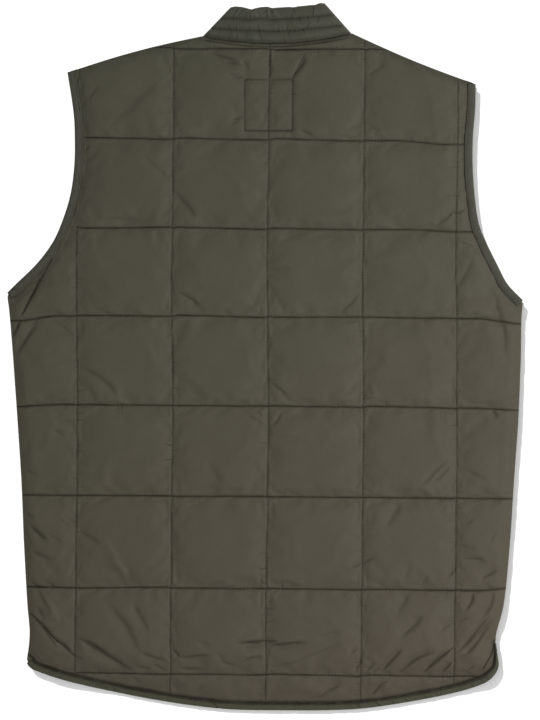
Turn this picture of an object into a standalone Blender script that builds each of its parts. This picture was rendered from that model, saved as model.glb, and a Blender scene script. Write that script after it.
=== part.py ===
# A quilted gilet laid out flat on its front, with its back uppermost. Two fronts lie on the surface,
# the back lies on them, and a stand collar, bound armholes and a bound hem finish it.
# X runs across the back, Y from the hem to the collar and Z up from the surface, all in metres.

import math
from collections import namedtuple

import bmesh
import bpy
import numpy as np
from mathutils import Vector
from mathutils.geometry import delaunay_2d_cdt

# Points along an edge: their spacing, and the length that each radian of turning counts as
EDGE_STEP = 0.012
TURN_STEP = 0.020
CURVE_SAMPLES = 24
MERGE_DISTANCE = 1e-7
INSIDE_ONLY = 1
ROW_TOLERANCE = 0.93
SHARP_ANGLE = math.radians(40)

# Cloth, seams and bindings
SEAM_GAP = 0.0003
BINDING_REACH = 0.009
BINDING_WALL = 0.0012
BINDING_BULGE = 0.0024
PRESSED_EDGE = 0.0024
BINDING_TALL = 2 * (BINDING_WALL + SEAM_GAP) + PRESSED_EDGE
BINDING_LIFT = BINDING_WALL + SEAM_GAP
BINDING_SLOT = 0.0015
BINDING_SEAT = BINDING_SLOT + SEAM_GAP
PRESSED_REACH = BINDING_REACH + 2 * SEAM_GAP
PRESSED_FADE = 0.0034

# Layers: the fronts fill the first one and the back lies on it
FRONT_TALL = BINDING_TALL
BACK_INSIDE = FRONT_TALL + SEAM_GAP

# Quilting: nearly square bays on a pattern that leans a little
QUILT_ACROSS = 0.1037
QUILT_ALONG = 0.0975
QUILT_CENTRE = (0.0027, -0.0550)
QUILT_LEAN = math.radians(0.45)
QUILT_VALLEY = 0.0035
QUILT_CROWN = 0.0095
QUILT_SOFTNESS = 0.011
QUILT_STATIONS = (0.0, 0.004, 0.013, 0.032)
QUILT_LINES = 5
SEAM_EDGE = 0.0020
EDGE_ROUND = 0.015
EDGE_ROUND_ROWS = (0.23, 0.60)
NECK_ROUND = 0.006
FRONT_ROUND = 0.006
FRONT_ROLL = 0.0030

# Where nothing lies under the back, at the tail and in the neck, it sinks to the surface
FRONT_HEM = -0.3200
TAIL_SHORT = 0.028
TAIL_LONG = 0.046
TAIL_FLAT = 0.014
TAIL_REACH = 0.066
TAIL_STEP = 0.030
TAIL_ROWS = 5
NECK_SAG = 0.0040
NECK_HOLE_CENTRE = (0.0136, 0.3850)
NECK_HOLE_HALF = (0.040, 0.062)
NECK_HOLE_ROWS = 7

# Centre front: the left front laps over the right one, each of half thickness there
FRONT_CENTRE = 0.0027
FRONT_LEAN = 0.008
LAP = 0.012
LAP_STEP = (0.013, 0.016)
LAP_LEVEL = 0.0025
LAP_BOUND = 0.020
LAP_STATIONS = 13
FRONT_NECK = 0.2720
STUD_COUNT = 5
STUD_FIRST = -0.290
STUD_LAST = 0.245
STUD_RADIUS = 0.0055
STUD_TALL = 0.0010
STUD_EDGE = 0.0005
STUD_SIDES = 20

# Collar: a band of three channels between lines of stitching
COLLAR_HEIGHT = 0.043
COLLAR_LINES = (0.07, 0.38, 0.685, 1.0)
COLLAR_LINE_WALL = 0.0026
COLLAR_CHANNEL_WALL = 0.0058
COLLAR_CHANNEL_SHAPE = 0.7
COLLAR_CHANNEL_ROWS = (0.2, 0.5, 0.8)
COLLAR_INSIDE_ROWS = (0.0, 0.5, 1.0)
COLLAR_FOLD = 0.0045
COLLAR_FOLD_INSIDE = 0.1
COLLAR_BEND = (60, 30, 0, -30, -60)
COLLAR_BACK_STATIONS = 17
COLLAR_CURVE_STATIONS = 7
COLLAR_TOP_LIFT = 0.0046
COLLAR_TOP_SHAPE = 6
NECK_DEPTH = 0.0130
NECK_SHAPE = 0.7

# The edge seen from above. Sections give where it lies to the left and to the right of X = 0.
Section = namedtuple("Section", "along left right")
Spot = namedtuple("Spot", "across along")
SIDES = (
    Section(-0.3000, -0.2557, 0.2512),
    Section(-0.2658, -0.2584, 0.2598),
    Section(-0.2005, -0.2620, 0.2662),
    Section(-0.1351, -0.2647, 0.2705),
    Section(-0.0697, -0.2689, 0.2751),
    Section(-0.0044, -0.2735, 0.2778),
    Section(0.0392, -0.2769, 0.2785),
)
ARMPITS = (Spot(-0.2800, 0.0697), Spot(0.2800, 0.0616))
ARMHOLES = (
    Section(0.0795, -0.2702, 0.2631),
    Section(0.1013, -0.2479, 0.2517),
    Section(0.1231, -0.2315, 0.2408),
    Section(0.1449, -0.2212, 0.2321),
    Section(0.1754, -0.2116, 0.2277),
    Section(0.2081, -0.2072, 0.2255),
    Section(0.2408, -0.2067, 0.2259),
    Section(0.2680, -0.2083, 0.2282),
)
SHOULDER_TIPS = (Spot(-0.2146, 0.3089), Spot(0.2288, 0.2963))
SHOULDER_ARCHES = (0.0030, -0.0023)
SHOULDER_STATIONS = 5
NECK_POINTS = (Spot(-0.0675, 0.3486), Spot(0.0937, 0.3519))
COLLAR_TIPS = (Spot(-0.0375, 0.3800), Spot(0.0647, 0.3846))
BACK_HEM = (
    Spot(-0.2588, -0.3323),
    Spot(-0.2500, -0.3403),
    Spot(-0.2016, -0.3557),
    Spot(-0.1253, -0.3721),
    Spot(-0.0500, -0.3826),
    Spot(0.0160, -0.3846),
    Spot(0.0926, -0.3836),
    Spot(0.1471, -0.3770),
    Spot(0.2016, -0.3666),
    Spot(0.2321, -0.3574),
    Spot(0.2460, -0.3490),
    Spot(0.2535, -0.3370),
    Spot(0.2525, -0.3230),
    Spot(0.2508, -0.3110),
)
FRONT_CORNERS = (Spot(-0.2560, -0.3150), Spot(0.2508, -0.3110))
FRONT_HEM_STATIONS = 6
FRONT_HEM_SHAPE = 3

# The largest folds, pressed into the back as soft troughs, and the four sides of a stitched box
Fold = namedtuple("Fold", "start_across start_along end_across end_along width depth")
FOLDS = {
    "left armpit": Fold(-0.233, 0.106, -0.273, 0.020, 0.0050, 0.0030),
    "below left armpit": Fold(-0.247, 0.040, -0.271, -0.003, 0.0050, 0.0018),
    "left corner": Fold(-0.256, -0.279, -0.207, -0.326, 0.0060, 0.0028),
    "left hem": Fold(-0.204, -0.305, -0.141, -0.343, 0.0050, 0.0024),
    "middle hem": Fold(-0.032, -0.312, 0.046, -0.309, 0.0040, 0.0018),
    "right hem": Fold(0.206, -0.316, 0.172, -0.344, 0.0050, 0.0022),
    "beside right hem": Fold(0.187, -0.324, 0.147, -0.343, 0.0040, 0.0018),
    "right corner": Fold(0.248, -0.285, 0.207, -0.331, 0.0060, 0.0022),
    "left square": Fold(-0.205, -0.015, -0.156, -0.048, 0.0040, 0.0015),
    "right armpit": Fold(0.241, 0.086, 0.261, 0.000, 0.0080, 0.0018),
    "box top": Fold(-0.024, 0.302, 0.032, 0.302, 0.0030, 0.0020),
    "box bottom": Fold(-0.024, 0.245, 0.032, 0.245, 0.0030, 0.0020),
    "box left": Fold(-0.022, 0.304, -0.022, 0.243, 0.0030, 0.0020),
    "box right": Fold(0.030, 0.304, 0.030, 0.243, 0.0030, 0.0020),
}
FOLD_STEP = 0.010
FOLD_BANKS = (0.0, -1.3, 1.3)

CLOTH_COLOUR = (0.076, 0.071, 0.054, 1.0)
BINDING_COLOUR = (0.062, 0.060, 0.046, 1.0)
METAL_COLOUR = (0.190, 0.175, 0.140, 1.0)

LEFT, RIGHT = 0, 1
Stretch = namedtuple("Stretch", "kind path")
Row = namedtuple("Row", "points from_edge from_others")


def ease(share):
    """A smooth step from 0 to 1 as the share goes from 0 to 1."""
    share = np.clip(share, 0.0, 1.0)
    return share * share * (3.0 - 2.0 * share)


def quarter_round(share):
    """The height of a quarter circle, 0 at its edge and 1 from its full radius on."""
    return np.sqrt(1.0 - (1.0 - np.clip(share, 0.0, 1.0)) ** 2)


def smooth_path(spots):
    """Even points along a Catmull-Rom curve through the spots, closer together where it turns."""
    spots = np.array(spots, dtype=float)
    ends = [2 * spots[0] - spots[1], 2 * spots[-1] - spots[-2]]
    knots = np.vstack([ends[0], spots, ends[1]])
    share = np.linspace(0.0, 1.0, CURVE_SAMPLES, endpoint=False)[:, None]
    spans = []
    for before, start, end, after in zip(knots, knots[1:], knots[2:], knots[3:]):
        pull = (end - before) / 2
        push = (after - start) / 2
        bend = 3 * (end - start) - 2 * pull - push
        close = 2 * (start - end) + pull + push
        spans.append(start + share * (pull + share * (bend + share * close)))
    dense = np.vstack(spans + [spots[-1:]])
    steps = np.diff(dense, axis=0)
    lengths = np.linalg.norm(steps, axis=1)
    headings = np.unwrap(np.arctan2(steps[:, 1], steps[:, 0]))
    turns = np.abs(np.gradient(headings))
    measure = np.concatenate([[0.0], np.cumsum(lengths + TURN_STEP * turns)])
    count = max(2, round(measure[-1] / EDGE_STEP))
    marks = np.linspace(0.0, measure[-1], count + 1)
    return np.column_stack([np.interp(marks, measure, dense[:, axis]) for axis in (0, 1)])


def inward(path):
    """Unit normals to the left of a path, which is the cloth's side of an edge."""
    along = np.gradient(path, axis=0)
    along = along / np.linalg.norm(along, axis=1, keepdims=True)
    return np.column_stack([-along[:, 1], along[:, 0]])


def distance_to(points, paths):
    """Distance from each point to the nearest of some open paths."""
    nearest = np.full(len(points), np.inf)
    for path in paths:
        start = path[:-1]
        step = path[1:] - start
        offset = points[:, None, :] - start[None, :, :]
        share = (offset * step).sum(axis=2) / (step * step).sum(axis=1)
        gap = offset - np.clip(share, 0.0, 1.0)[:, :, None] * step
        nearest = np.minimum(nearest, np.linalg.norm(gap, axis=2).min(axis=1))
    return nearest


def clear_of(points, taken, gap):
    """The points that lie farther than a gap from every taken point."""
    if len(points) == 0 or len(taken) == 0:
        return points
    offset = points[:, None, :] - taken[None, :, :]
    return points[np.linalg.norm(offset, axis=2).min(axis=1) > gap]


def hem_along(across):
    """The back hem's place along Y at each place across."""
    lower = [spot for spot in BACK_HEM if spot.along <= BACK_HEM[-3].along]
    return np.interp(across, [spot.across for spot in lower], [spot.along for spot in lower])


def front_centre(along):
    """The centre front's place across, which leans like the quilting."""
    return FRONT_CENTRE + FRONT_LEAN * along


def back_inside(points):
    """The level of the back's plain inside, lower at the tail and over the neck's hole."""
    across, along = points[:, 0], points[:, 1]
    hem = hem_along(across)
    tail = np.maximum(FRONT_HEM - hem, TAIL_FLAT + SEAM_GAP)
    drop = BACK_INSIDE * ease((tail - TAIL_SHORT) / (TAIL_LONG - TAIL_SHORT))
    drop = drop * (1.0 - ease((along - hem - TAIL_FLAT) / (tail - TAIL_FLAT)))
    hole = ((across - NECK_HOLE_CENTRE[0]) / NECK_HOLE_HALF[0]) ** 2
    hole = hole + ((along - NECK_HOLE_CENTRE[1]) / NECK_HOLE_HALF[1]) ** 2
    return BACK_INSIDE - drop - NECK_SAG * np.maximum(1.0 - hole, 0.0) ** 2


def quilt_puff(points):
    """How far each point is up its square: 0 on a line of stitching, near 1 in the middle."""
    offset = points - np.array(QUILT_CENTRE)
    across = offset[:, 0] * math.cos(QUILT_LEAN) - offset[:, 1] * math.sin(QUILT_LEAN)
    along = offset[:, 0] * math.sin(QUILT_LEAN) + offset[:, 1] * math.cos(QUILT_LEAN)
    puff = np.ones(len(points))
    for place, pitch in ((across, QUILT_ACROSS), (along, QUILT_ALONG)):
        from_line = np.abs(place - pitch * np.round(place / pitch))
        puff = puff * (1.0 - np.exp(-from_line / QUILT_SOFTNESS))
    return puff


def fold_depth(points):
    """The depth of the folds at each point: a soft trough along each fold, fading at its ends."""
    depth = np.zeros(len(points))
    for fold in FOLDS.values():
        start = np.array([fold.start_across, fold.start_along])
        run = np.array([fold.end_across, fold.end_along]) - start
        share = ((points - start) @ run) / (run @ run)
        from_fold = np.linalg.norm(points - start - np.clip(share, 0.0, 1.0)[:, None] * run, axis=1)
        fade = np.clip(1.0 - (2.0 * np.clip(share, 0.0, 1.0) - 1.0) ** 4, 0.0, 1.0)
        depth = np.maximum(depth, fold.depth * fade * np.exp(-((from_fold / fold.width) ** 2)))
    return depth


def quilt_points():
    """Points on a grid that is closer together beside the lines of stitching."""
    rows = []
    for pitch in (QUILT_ACROSS, QUILT_ALONG):
        lines = pitch * np.arange(-QUILT_LINES, QUILT_LINES + 1)
        offsets = sorted({sign * station for station in QUILT_STATIONS for sign in (-1, 1)})
        rows.append(np.unique((lines[:, None] + np.array(offsets)).ravel()))
    across, along = (axis.ravel() for axis in np.meshgrid(*rows))
    turned = np.column_stack([
        across * math.cos(QUILT_LEAN) + along * math.sin(QUILT_LEAN),
        along * math.cos(QUILT_LEAN) - across * math.sin(QUILT_LEAN),
    ])
    return turned + np.array(QUILT_CENTRE)


def fold_points():
    """Points along the bottom of each fold and on both of its banks."""
    rows = []
    for fold in FOLDS.values():
        start = np.array([fold.start_across, fold.start_along])
        run = np.array([fold.end_across, fold.end_along]) - start
        count = max(3, round(np.linalg.norm(run) / FOLD_STEP))
        bank = np.array([-run[1], run[0]]) / np.linalg.norm(run) * fold.width
        for side in FOLD_BANKS:
            share = np.linspace(0.0, 1.0, count + 1)[1:-1, None]
            rows.append(start + share * run + side * bank)
    return np.vstack(rows)


def side_path(side, foot):
    """A side seam from its foot up to the armpit."""
    return smooth_path([foot] + [(row[1 + side], row.along) for row in SIDES] + [ARMPITS[side]])


def armhole_path(side):
    """An armhole's edge from the armpit up to the shoulder tip."""
    middle = [(row[1 + side], row.along) for row in ARMHOLES]
    return smooth_path([ARMPITS[side]] + middle + [SHOULDER_TIPS[side]])


def shoulder_path(side):
    """A shoulder from its tip to the neck: a straight line with a slight arch or hollow."""
    share = np.linspace(0.0, 1.0, SHOULDER_STATIONS)[:, None]
    tip = np.array(SHOULDER_TIPS[side])
    line = tip + share * (np.array(NECK_POINTS[side]) - tip)
    line[:, 1] += SHOULDER_ARCHES[side] * np.sin(math.pi * share[:, 0])
    return smooth_path(line)


def back_neck():
    """The back neck seam from left to right, with a station where the collar starts to fold."""
    left, right = (np.array(spot) for spot in NECK_POINTS)
    fold = COLLAR_FOLD / np.linalg.norm(right - left)
    share = np.concatenate([[0.0], np.linspace(fold, 1.0 - fold, COLLAR_BACK_STATIONS), [1.0]])
    line = left + share[:, None] * (right - left)
    line[:, 1] -= NECK_DEPTH * np.sin(math.pi * share) ** NECK_SHAPE
    return line


def collar_top():
    """The collar's upper edge at the back, at the same stations as the neck seam."""
    left, right = (np.array(spot) for spot in COLLAR_TIPS)
    fold = COLLAR_FOLD / np.linalg.norm(right - left)
    share = np.concatenate([[0.0], np.linspace(fold, 1.0 - fold, COLLAR_BACK_STATIONS), [1.0]])
    line = left + share[:, None] * (right - left)
    line[:, 1] = left[1] + COLLAR_TOP_LIFT * share ** COLLAR_TOP_SHAPE
    return line


def front_curve(side, start, level):
    """A neckline from the shoulder to the centre front: a quarter ellipse and a straight lap."""
    outwards = -1.0 if side == LEFT else 1.0
    centre = front_centre(FRONT_NECK)
    turn = np.linspace(0.0, math.pi / 2, COLLAR_CURVE_STATIONS)
    end = centre + outwards * LAP_STEP[1]
    across = start[0] + (end - start[0]) * (1.0 - np.cos(turn))
    along = start[1] + (level - start[1]) * np.sin(turn)
    lap = centre + outwards * np.array([LAP_STEP[0], 0.0, -LAP])
    curve = np.column_stack([across, along])
    return np.vstack([curve, np.column_stack([lap, np.full(len(lap), level)])])


def front_neck(side):
    """A front's neck seam, from the shoulder's neck point to the centre front."""
    seam = back_neck() if side == LEFT else back_neck()[::-1]
    return np.vstack([seam[:1], front_curve(side, seam[1], FRONT_NECK)])


def front_hem(side):
    """A front's hem from its side to the centre front, in a bound and a plain stretch."""
    outwards = -1.0 if side == LEFT else 1.0
    corner = FRONT_CORNERS[side]
    centre = front_centre(FRONT_HEM)
    split = centre + outwards * LAP_BOUND
    across = np.linspace(corner.across, split, FRONT_HEM_STATIONS)
    share = (across - split) / (corner.across - split)
    rise = (corner.along - FRONT_HEM) * share ** FRONT_HEM_SHAPE
    bound = smooth_path(np.column_stack([across, FRONT_HEM + rise]))
    plain = centre + outwards * np.array([LAP_BOUND, LAP_STEP[1], LAP_STEP[0], -LAP])
    return bound, np.column_stack([plain, np.full(len(plain), FRONT_HEM)])


def front_edge(side):
    """The centre edge of a front, from its neck down to its hem."""
    return np.linspace(front_neck(side)[-1], front_hem(side)[1][-1], LAP_STATIONS)


def back_stretches():
    """The back's edge, run anticlockwise from its left hem corner."""
    right_foot, left_foot = BACK_HEM[-1], BACK_HEM[0]
    return [
        Stretch("bound", smooth_path(BACK_HEM)),
        Stretch("seam", side_path(RIGHT, right_foot)),
        Stretch("bound", armhole_path(RIGHT)),
        Stretch("seam", shoulder_path(RIGHT)),
        Stretch("neck", back_neck()[::-1]),
        Stretch("seam", shoulder_path(LEFT)[::-1]),
        Stretch("bound", armhole_path(LEFT)[::-1]),
        Stretch("seam", side_path(LEFT, left_foot)[::-1]),
    ]


def front_stretches(side):
    """A front's edge, run anticlockwise."""
    bound, plain = front_hem(side)
    outer = [
        Stretch("seam", side_path(side, FRONT_CORNERS[side])),
        Stretch("bound", armhole_path(side)),
        Stretch("seam", shoulder_path(side)),
        Stretch("neck", front_neck(side)),
        Stretch("edge", front_edge(side)),
        Stretch("edge", plain[::-1]),
        Stretch("bound", bound[::-1]),
    ]
    if side == RIGHT:
        return outer
    return [Stretch(stretch.kind, stretch.path[::-1]) for stretch in reversed(outer)]


def edge_loop(stretches):
    """The cloth's own closed edge: moved in where a binding holds it, and with no doubled points."""
    rows = []
    for index, stretch in enumerate(stretches):
        if stretch.kind == "bound":
            rows.append(stretch.path + BINDING_SEAT * inward(stretch.path))
        else:
            first = 1 if stretches[index - 1].kind == "bound" else 0
            rows.append(stretch.path[first:-1])
    return np.vstack(rows)


class Edges:
    """Distances from points to the bound, sewn and neck stretches of a panel's edge."""

    def __init__(self, stretches):
        self.paths = {kind: [] for kind in ("bound", "seam", "neck", "edge")}
        for stretch in stretches:
            self.paths[stretch.kind].append(stretch.path)

    def from_bound(self, points):
        return distance_to(points, self.paths["bound"])

    def from_seam(self, points):
        return distance_to(points, self.paths["seam"])

    def from_neck(self, points):
        return distance_to(points, self.paths["neck"])

    def pressed(self, points):
        """1 under a binding, falling to 0 just past it."""
        return 1.0 - ease((self.from_bound(points) - PRESSED_REACH) / PRESSED_FADE)

    def rows_inside(self, kind, offset):
        """Points moved in from the stretches of a kind, less those that come too near one of them."""
        rows = [path + offset * inward(path) for path in self.paths[kind]]
        return [row[distance_to(row, self.paths[kind]) > ROW_TOLERANCE * offset] for row in rows]

    def slots(self):
        """The cloth's bounds inside each binding: out along its reach and in again at both ends."""
        chains = []
        for path, row in zip(self.paths["bound"], self.rows_inside("bound", PRESSED_REACH)):
            held = path + BINDING_SEAT * inward(path)
            chains.append(np.vstack([held[:1], row, held[-1:]]))
        return chains


def drape(loop, chains, inner, level):
    """A sheet over a loop, some chains of points that stay joined and some loose inner points.

    It comes as vertices, triangles and the indices of the loop's own vertices.
    """
    points = np.vstack([loop] + chains + [inner])
    count = len(loop)
    ties = [(index, (index + 1) % count) for index in range(count)]
    start = count
    for chain in chains:
        ties += [(start + index, start + index + 1) for index in range(len(chain) - 1)]
        start += len(chain)
    spots, _, triangles, sources, _, _ = delaunay_2d_cdt(
        [Vector(point) for point in points], ties, [], INSIDE_ONLY, MERGE_DISTANCE
    )
    flat = np.array([tuple(spot) for spot in spots])
    place = {source: index for index, found in enumerate(sources) for source in found}
    vertices = np.column_stack([flat, level(flat)])
    return vertices, [list(face) for face in triangles], [place[index] for index in range(count)]


def material(name, colour, roughness, metallic=0.0):
    """A plain surface."""
    surface = bpy.data.materials.new(name)
    surface.use_nodes = True
    shader = surface.node_tree.nodes["Principled BSDF"]
    shader.inputs["Base Color"].default_value = colour
    shader.inputs["Roughness"].default_value = roughness
    shader.inputs["Metallic"].default_value = metallic
    surface.diffuse_color = colour
    return surface


def add_piece(name, vertices, faces, surface):
    """An object with its faces turned outwards and its rounded edges shaded smooth."""
    mesh = bpy.data.meshes.new(name)
    mesh.from_pydata([tuple(vertex) for vertex in vertices], [], faces)
    shape = bmesh.new()
    shape.from_mesh(mesh)
    bmesh.ops.recalc_face_normals(shape, faces=shape.faces)
    shape.to_mesh(mesh)
    shape.free()
    mesh.shade_smooth()
    mesh.set_sharp_from_angle(angle=SHARP_ANGLE)
    mesh.materials.append(surface)
    piece = bpy.data.objects.new(name, mesh)
    bpy.context.collection.objects.link(piece)
    return piece


def add_panel(name, loop, above, below, surface):
    """A padded panel: an upper and a lower sheet on the same loop, joined by a wall."""
    top, top_faces, top_rim = above
    bottom, bottom_faces, bottom_rim = below
    shift = len(top)
    faces = top_faces + [[shift + index for index in reversed(face)] for face in bottom_faces]
    for index in range(len(loop)):
        follower = (index + 1) % len(loop)
        faces.append([
            shift + bottom_rim[index],
            shift + bottom_rim[follower],
            top_rim[follower],
            top_rim[index],
        ])
    return add_piece(name, np.vstack([top, bottom]), faces, surface)


def inside_loop(points, loop):
    """Which points lie inside a closed loop, by counting the edges that a ray crosses."""
    across, along = points[:, 0:1], points[:, 1:2]
    start, end = loop, np.roll(loop, -1, axis=0)
    spans = (start[:, 1] > along) != (end[:, 1] > along)
    rise = np.where(end[:, 1] == start[:, 1], 1.0, end[:, 1] - start[:, 1])
    crossing = start[:, 0] + (along - start[:, 1]) * (end[:, 0] - start[:, 0]) / rise
    return (spans & (across < crossing)).sum(axis=1) % 2 == 1


def add_rows(taken, loop, rows):
    """Add rows of loose points, each kept off the loop and off the points that are there already."""
    rim = np.vstack([loop, loop[:1]])
    for row in rows:
        points = row.points[inside_loop(row.points, loop)]
        points = points[distance_to(points, [rim]) > row.from_edge]
        taken = np.vstack([taken, clear_of(points, taken, row.from_others)])
    return taken


def add_back(surface):
    """The back: raised squares, the largest folds and rolled edges over a plain inside."""
    stretches = back_stretches()
    edges = Edges(stretches)
    loop = edge_loop(stretches)

    def under(points):
        return back_inside(points) + BINDING_LIFT * edges.pressed(points)

    def over(points):
        edge = SEAM_EDGE + (BINDING_LIFT + PRESSED_EDGE - SEAM_EDGE) * edges.pressed(points)
        crown = QUILT_VALLEY + (QUILT_CROWN - QUILT_VALLEY) * quilt_puff(points)
        crown = np.maximum(crown - fold_depth(points), edge)
        past = np.maximum(edges.from_bound(points) - PRESSED_REACH, 0.0)
        swell = 1.0 - np.exp(-past / QUILT_SOFTNESS)
        swell = swell * quarter_round(edges.from_seam(points) / EDGE_ROUND)
        swell = swell * quarter_round(edges.from_neck(points) / NECK_ROUND)
        return back_inside(points) + edge + (crown - edge) * swell

    slots = edges.slots()
    held = np.vstack(slots)
    freed = np.vstack(edges.rows_inside("bound", PRESSED_REACH + PRESSED_FADE))
    outer, inner = (np.vstack(edges.rows_inside("seam", share * EDGE_ROUND)) for share in EDGE_ROUND_ROWS)
    necked = np.vstack(edges.rows_inside("neck", NECK_ROUND))
    upper = add_rows(held, loop, [
        Row(freed, 0.0040, 0.0025),
        Row(fold_points(), 0.0060, 0.0030),
        Row(necked, 0.0030, 0.0030),
        Row(outer, 0.0030, 0.0030),
        Row(inner, 0.0060, 0.0040),
        Row(quilt_points(), 0.0120, 0.0035),
    ])
    lower = add_rows(held, loop, [
        Row(freed, 0.0040, 0.0025),
        Row(sunk_points(), 0.0060, 0.0060),
    ])
    above = drape(loop, slots, upper[len(held):], over)
    below = drape(loop, slots, lower[len(held):], under)
    return add_panel("back_panel", loop, above, below, surface)


def sunk_points():
    """Points where the back sinks to the surface: over the tail's slope and over the neck's hole."""
    across = np.arange(BACK_HEM[0].across, BACK_HEM[-1].across, TAIL_STEP)
    rises = np.linspace(TAIL_FLAT, TAIL_REACH, TAIL_ROWS)
    tail = [np.column_stack([across, hem_along(across) + rise]) for rise in rises]
    shares = np.linspace(-1.0, 1.0, NECK_HOLE_ROWS)
    across, along = (grid.ravel() for grid in np.meshgrid(shares, shares))
    hole = np.column_stack([across, along]) * np.array(NECK_HOLE_HALF) + np.array(NECK_HOLE_CENTRE)
    return np.vstack(tail + [hole])


def lap_chains(side):
    """The two lines, from hem to neck, between which a front thins for its lap."""
    outwards = -1.0 if side == LEFT else 1.0
    along = np.linspace(FRONT_HEM, FRONT_NECK, LAP_STATIONS)
    return [np.column_stack([front_centre(along) + outwards * step, along]) for step in LAP_STEP]


def add_front(side, name, surface):
    """A plain front: flat below where it rests, rolled at its seams, thinned for its lap."""
    outwards = -1.0 if side == LEFT else 1.0
    stretches = front_stretches(side)
    edges = Edges(stretches)
    loop = edge_loop(stretches)

    def lap(points):
        from_centre = outwards * (points[:, 0] - front_centre(points[:, 1]))
        return 1.0 - ease((from_centre - LAP_STEP[0]) / (LAP_STEP[1] - LAP_STEP[0]))

    def under(points):
        roll = FRONT_ROLL * (1.0 - quarter_round(edges.from_seam(points) / FRONT_ROUND))
        level = np.maximum(BINDING_LIFT * edges.pressed(points), roll)
        if side == RIGHT:
            level = np.maximum(level, (LAP_LEVEL + SEAM_GAP) * lap(points))
        return level

    def over(points):
        level = FRONT_TALL - BINDING_LIFT * edges.pressed(points)
        if side == LEFT:
            level = np.minimum(level, FRONT_TALL - (FRONT_TALL - LAP_LEVEL) * lap(points))
        return level

    chains = edges.slots() + lap_chains(side)
    held = np.vstack(chains)
    freed = np.vstack(edges.rows_inside("bound", PRESSED_REACH + PRESSED_FADE))
    rolled = np.vstack(edges.rows_inside("seam", FRONT_ROUND))
    upper = add_rows(held, loop, [Row(freed, 0.0040, 0.0025)])
    lower = add_rows(upper, loop, [Row(rolled, 0.0040, 0.0030)])
    above = drape(loop, chains, upper[len(held):], over)
    below = drape(loop, chains, lower[len(held):], under)
    return add_panel(name, loop, above, below, surface)


def sweep(name, path, base, surface):
    """A binding: a folded strip with an open slot, run along an edge of the cloth."""
    middle = BINDING_TALL / 2
    outer = [(BINDING_REACH, BINDING_TALL)]
    for turn in np.radians([90, 135, 180, 225, 270]):
        outer.append((BINDING_BULGE * (1.0 + math.cos(turn)), middle * (1.0 + math.sin(turn))))
    outer.append((BINDING_REACH, 0.0))
    slot = [
        (BINDING_REACH, BINDING_WALL),
        (BINDING_SLOT, BINDING_WALL),
        (BINDING_SLOT, BINDING_TALL - BINDING_WALL),
        (BINDING_REACH, BINDING_TALL - BINDING_WALL),
    ]
    profile = np.array(outer + slot)
    normals = inward(path)
    path = path.copy()
    for end, neighbour in ((0, 1), (-1, -2)):
        step = path[neighbour] - path[end]
        path[end] += step / np.linalg.norm(step) * SEAM_GAP
    rings = []
    for spot, normal in zip(path, normals):
        flat = spot + profile[:, 0:1] * normal
        rings.append(np.column_stack([flat, base(flat) + profile[:, 1]]))
    size = len(profile)
    faces = [list(range(size)), list(range((len(rings) - 1) * size, len(rings) * size))]
    for ring in range(len(rings) - 1):
        for index in range(size):
            follower = (index + 1) % size
            near, far = ring * size, (ring + 1) * size
            faces.append([near + index, near + follower, far + follower, far + index])
    return add_piece(name, np.vstack(rings), faces, surface)


def on_surface(points):
    """The level of what lies straight on the surface."""
    return np.zeros(len(points))


def collar_wall(share):
    """The collar's thickness up its height: thin on each line of stitching, full between."""
    wall = COLLAR_LINE_WALL
    for start, end in zip(COLLAR_LINES, COLLAR_LINES[1:]):
        if start < share < end:
            swell = math.sin(math.pi * (share - start) / (end - start)) ** COLLAR_CHANNEL_SHAPE
            wall += (COLLAR_CHANNEL_WALL - COLLAR_LINE_WALL) * swell
    return wall


def collar_levels():
    """Shares of the collar's height where its outside has a row of points."""
    levels = {0.0, *COLLAR_LINES}
    for start, end in zip(COLLAR_LINES, COLLAR_LINES[1:]):
        levels.update(start + part * (end - start) for part in COLLAR_CHANNEL_ROWS)
    return sorted(levels)


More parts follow.
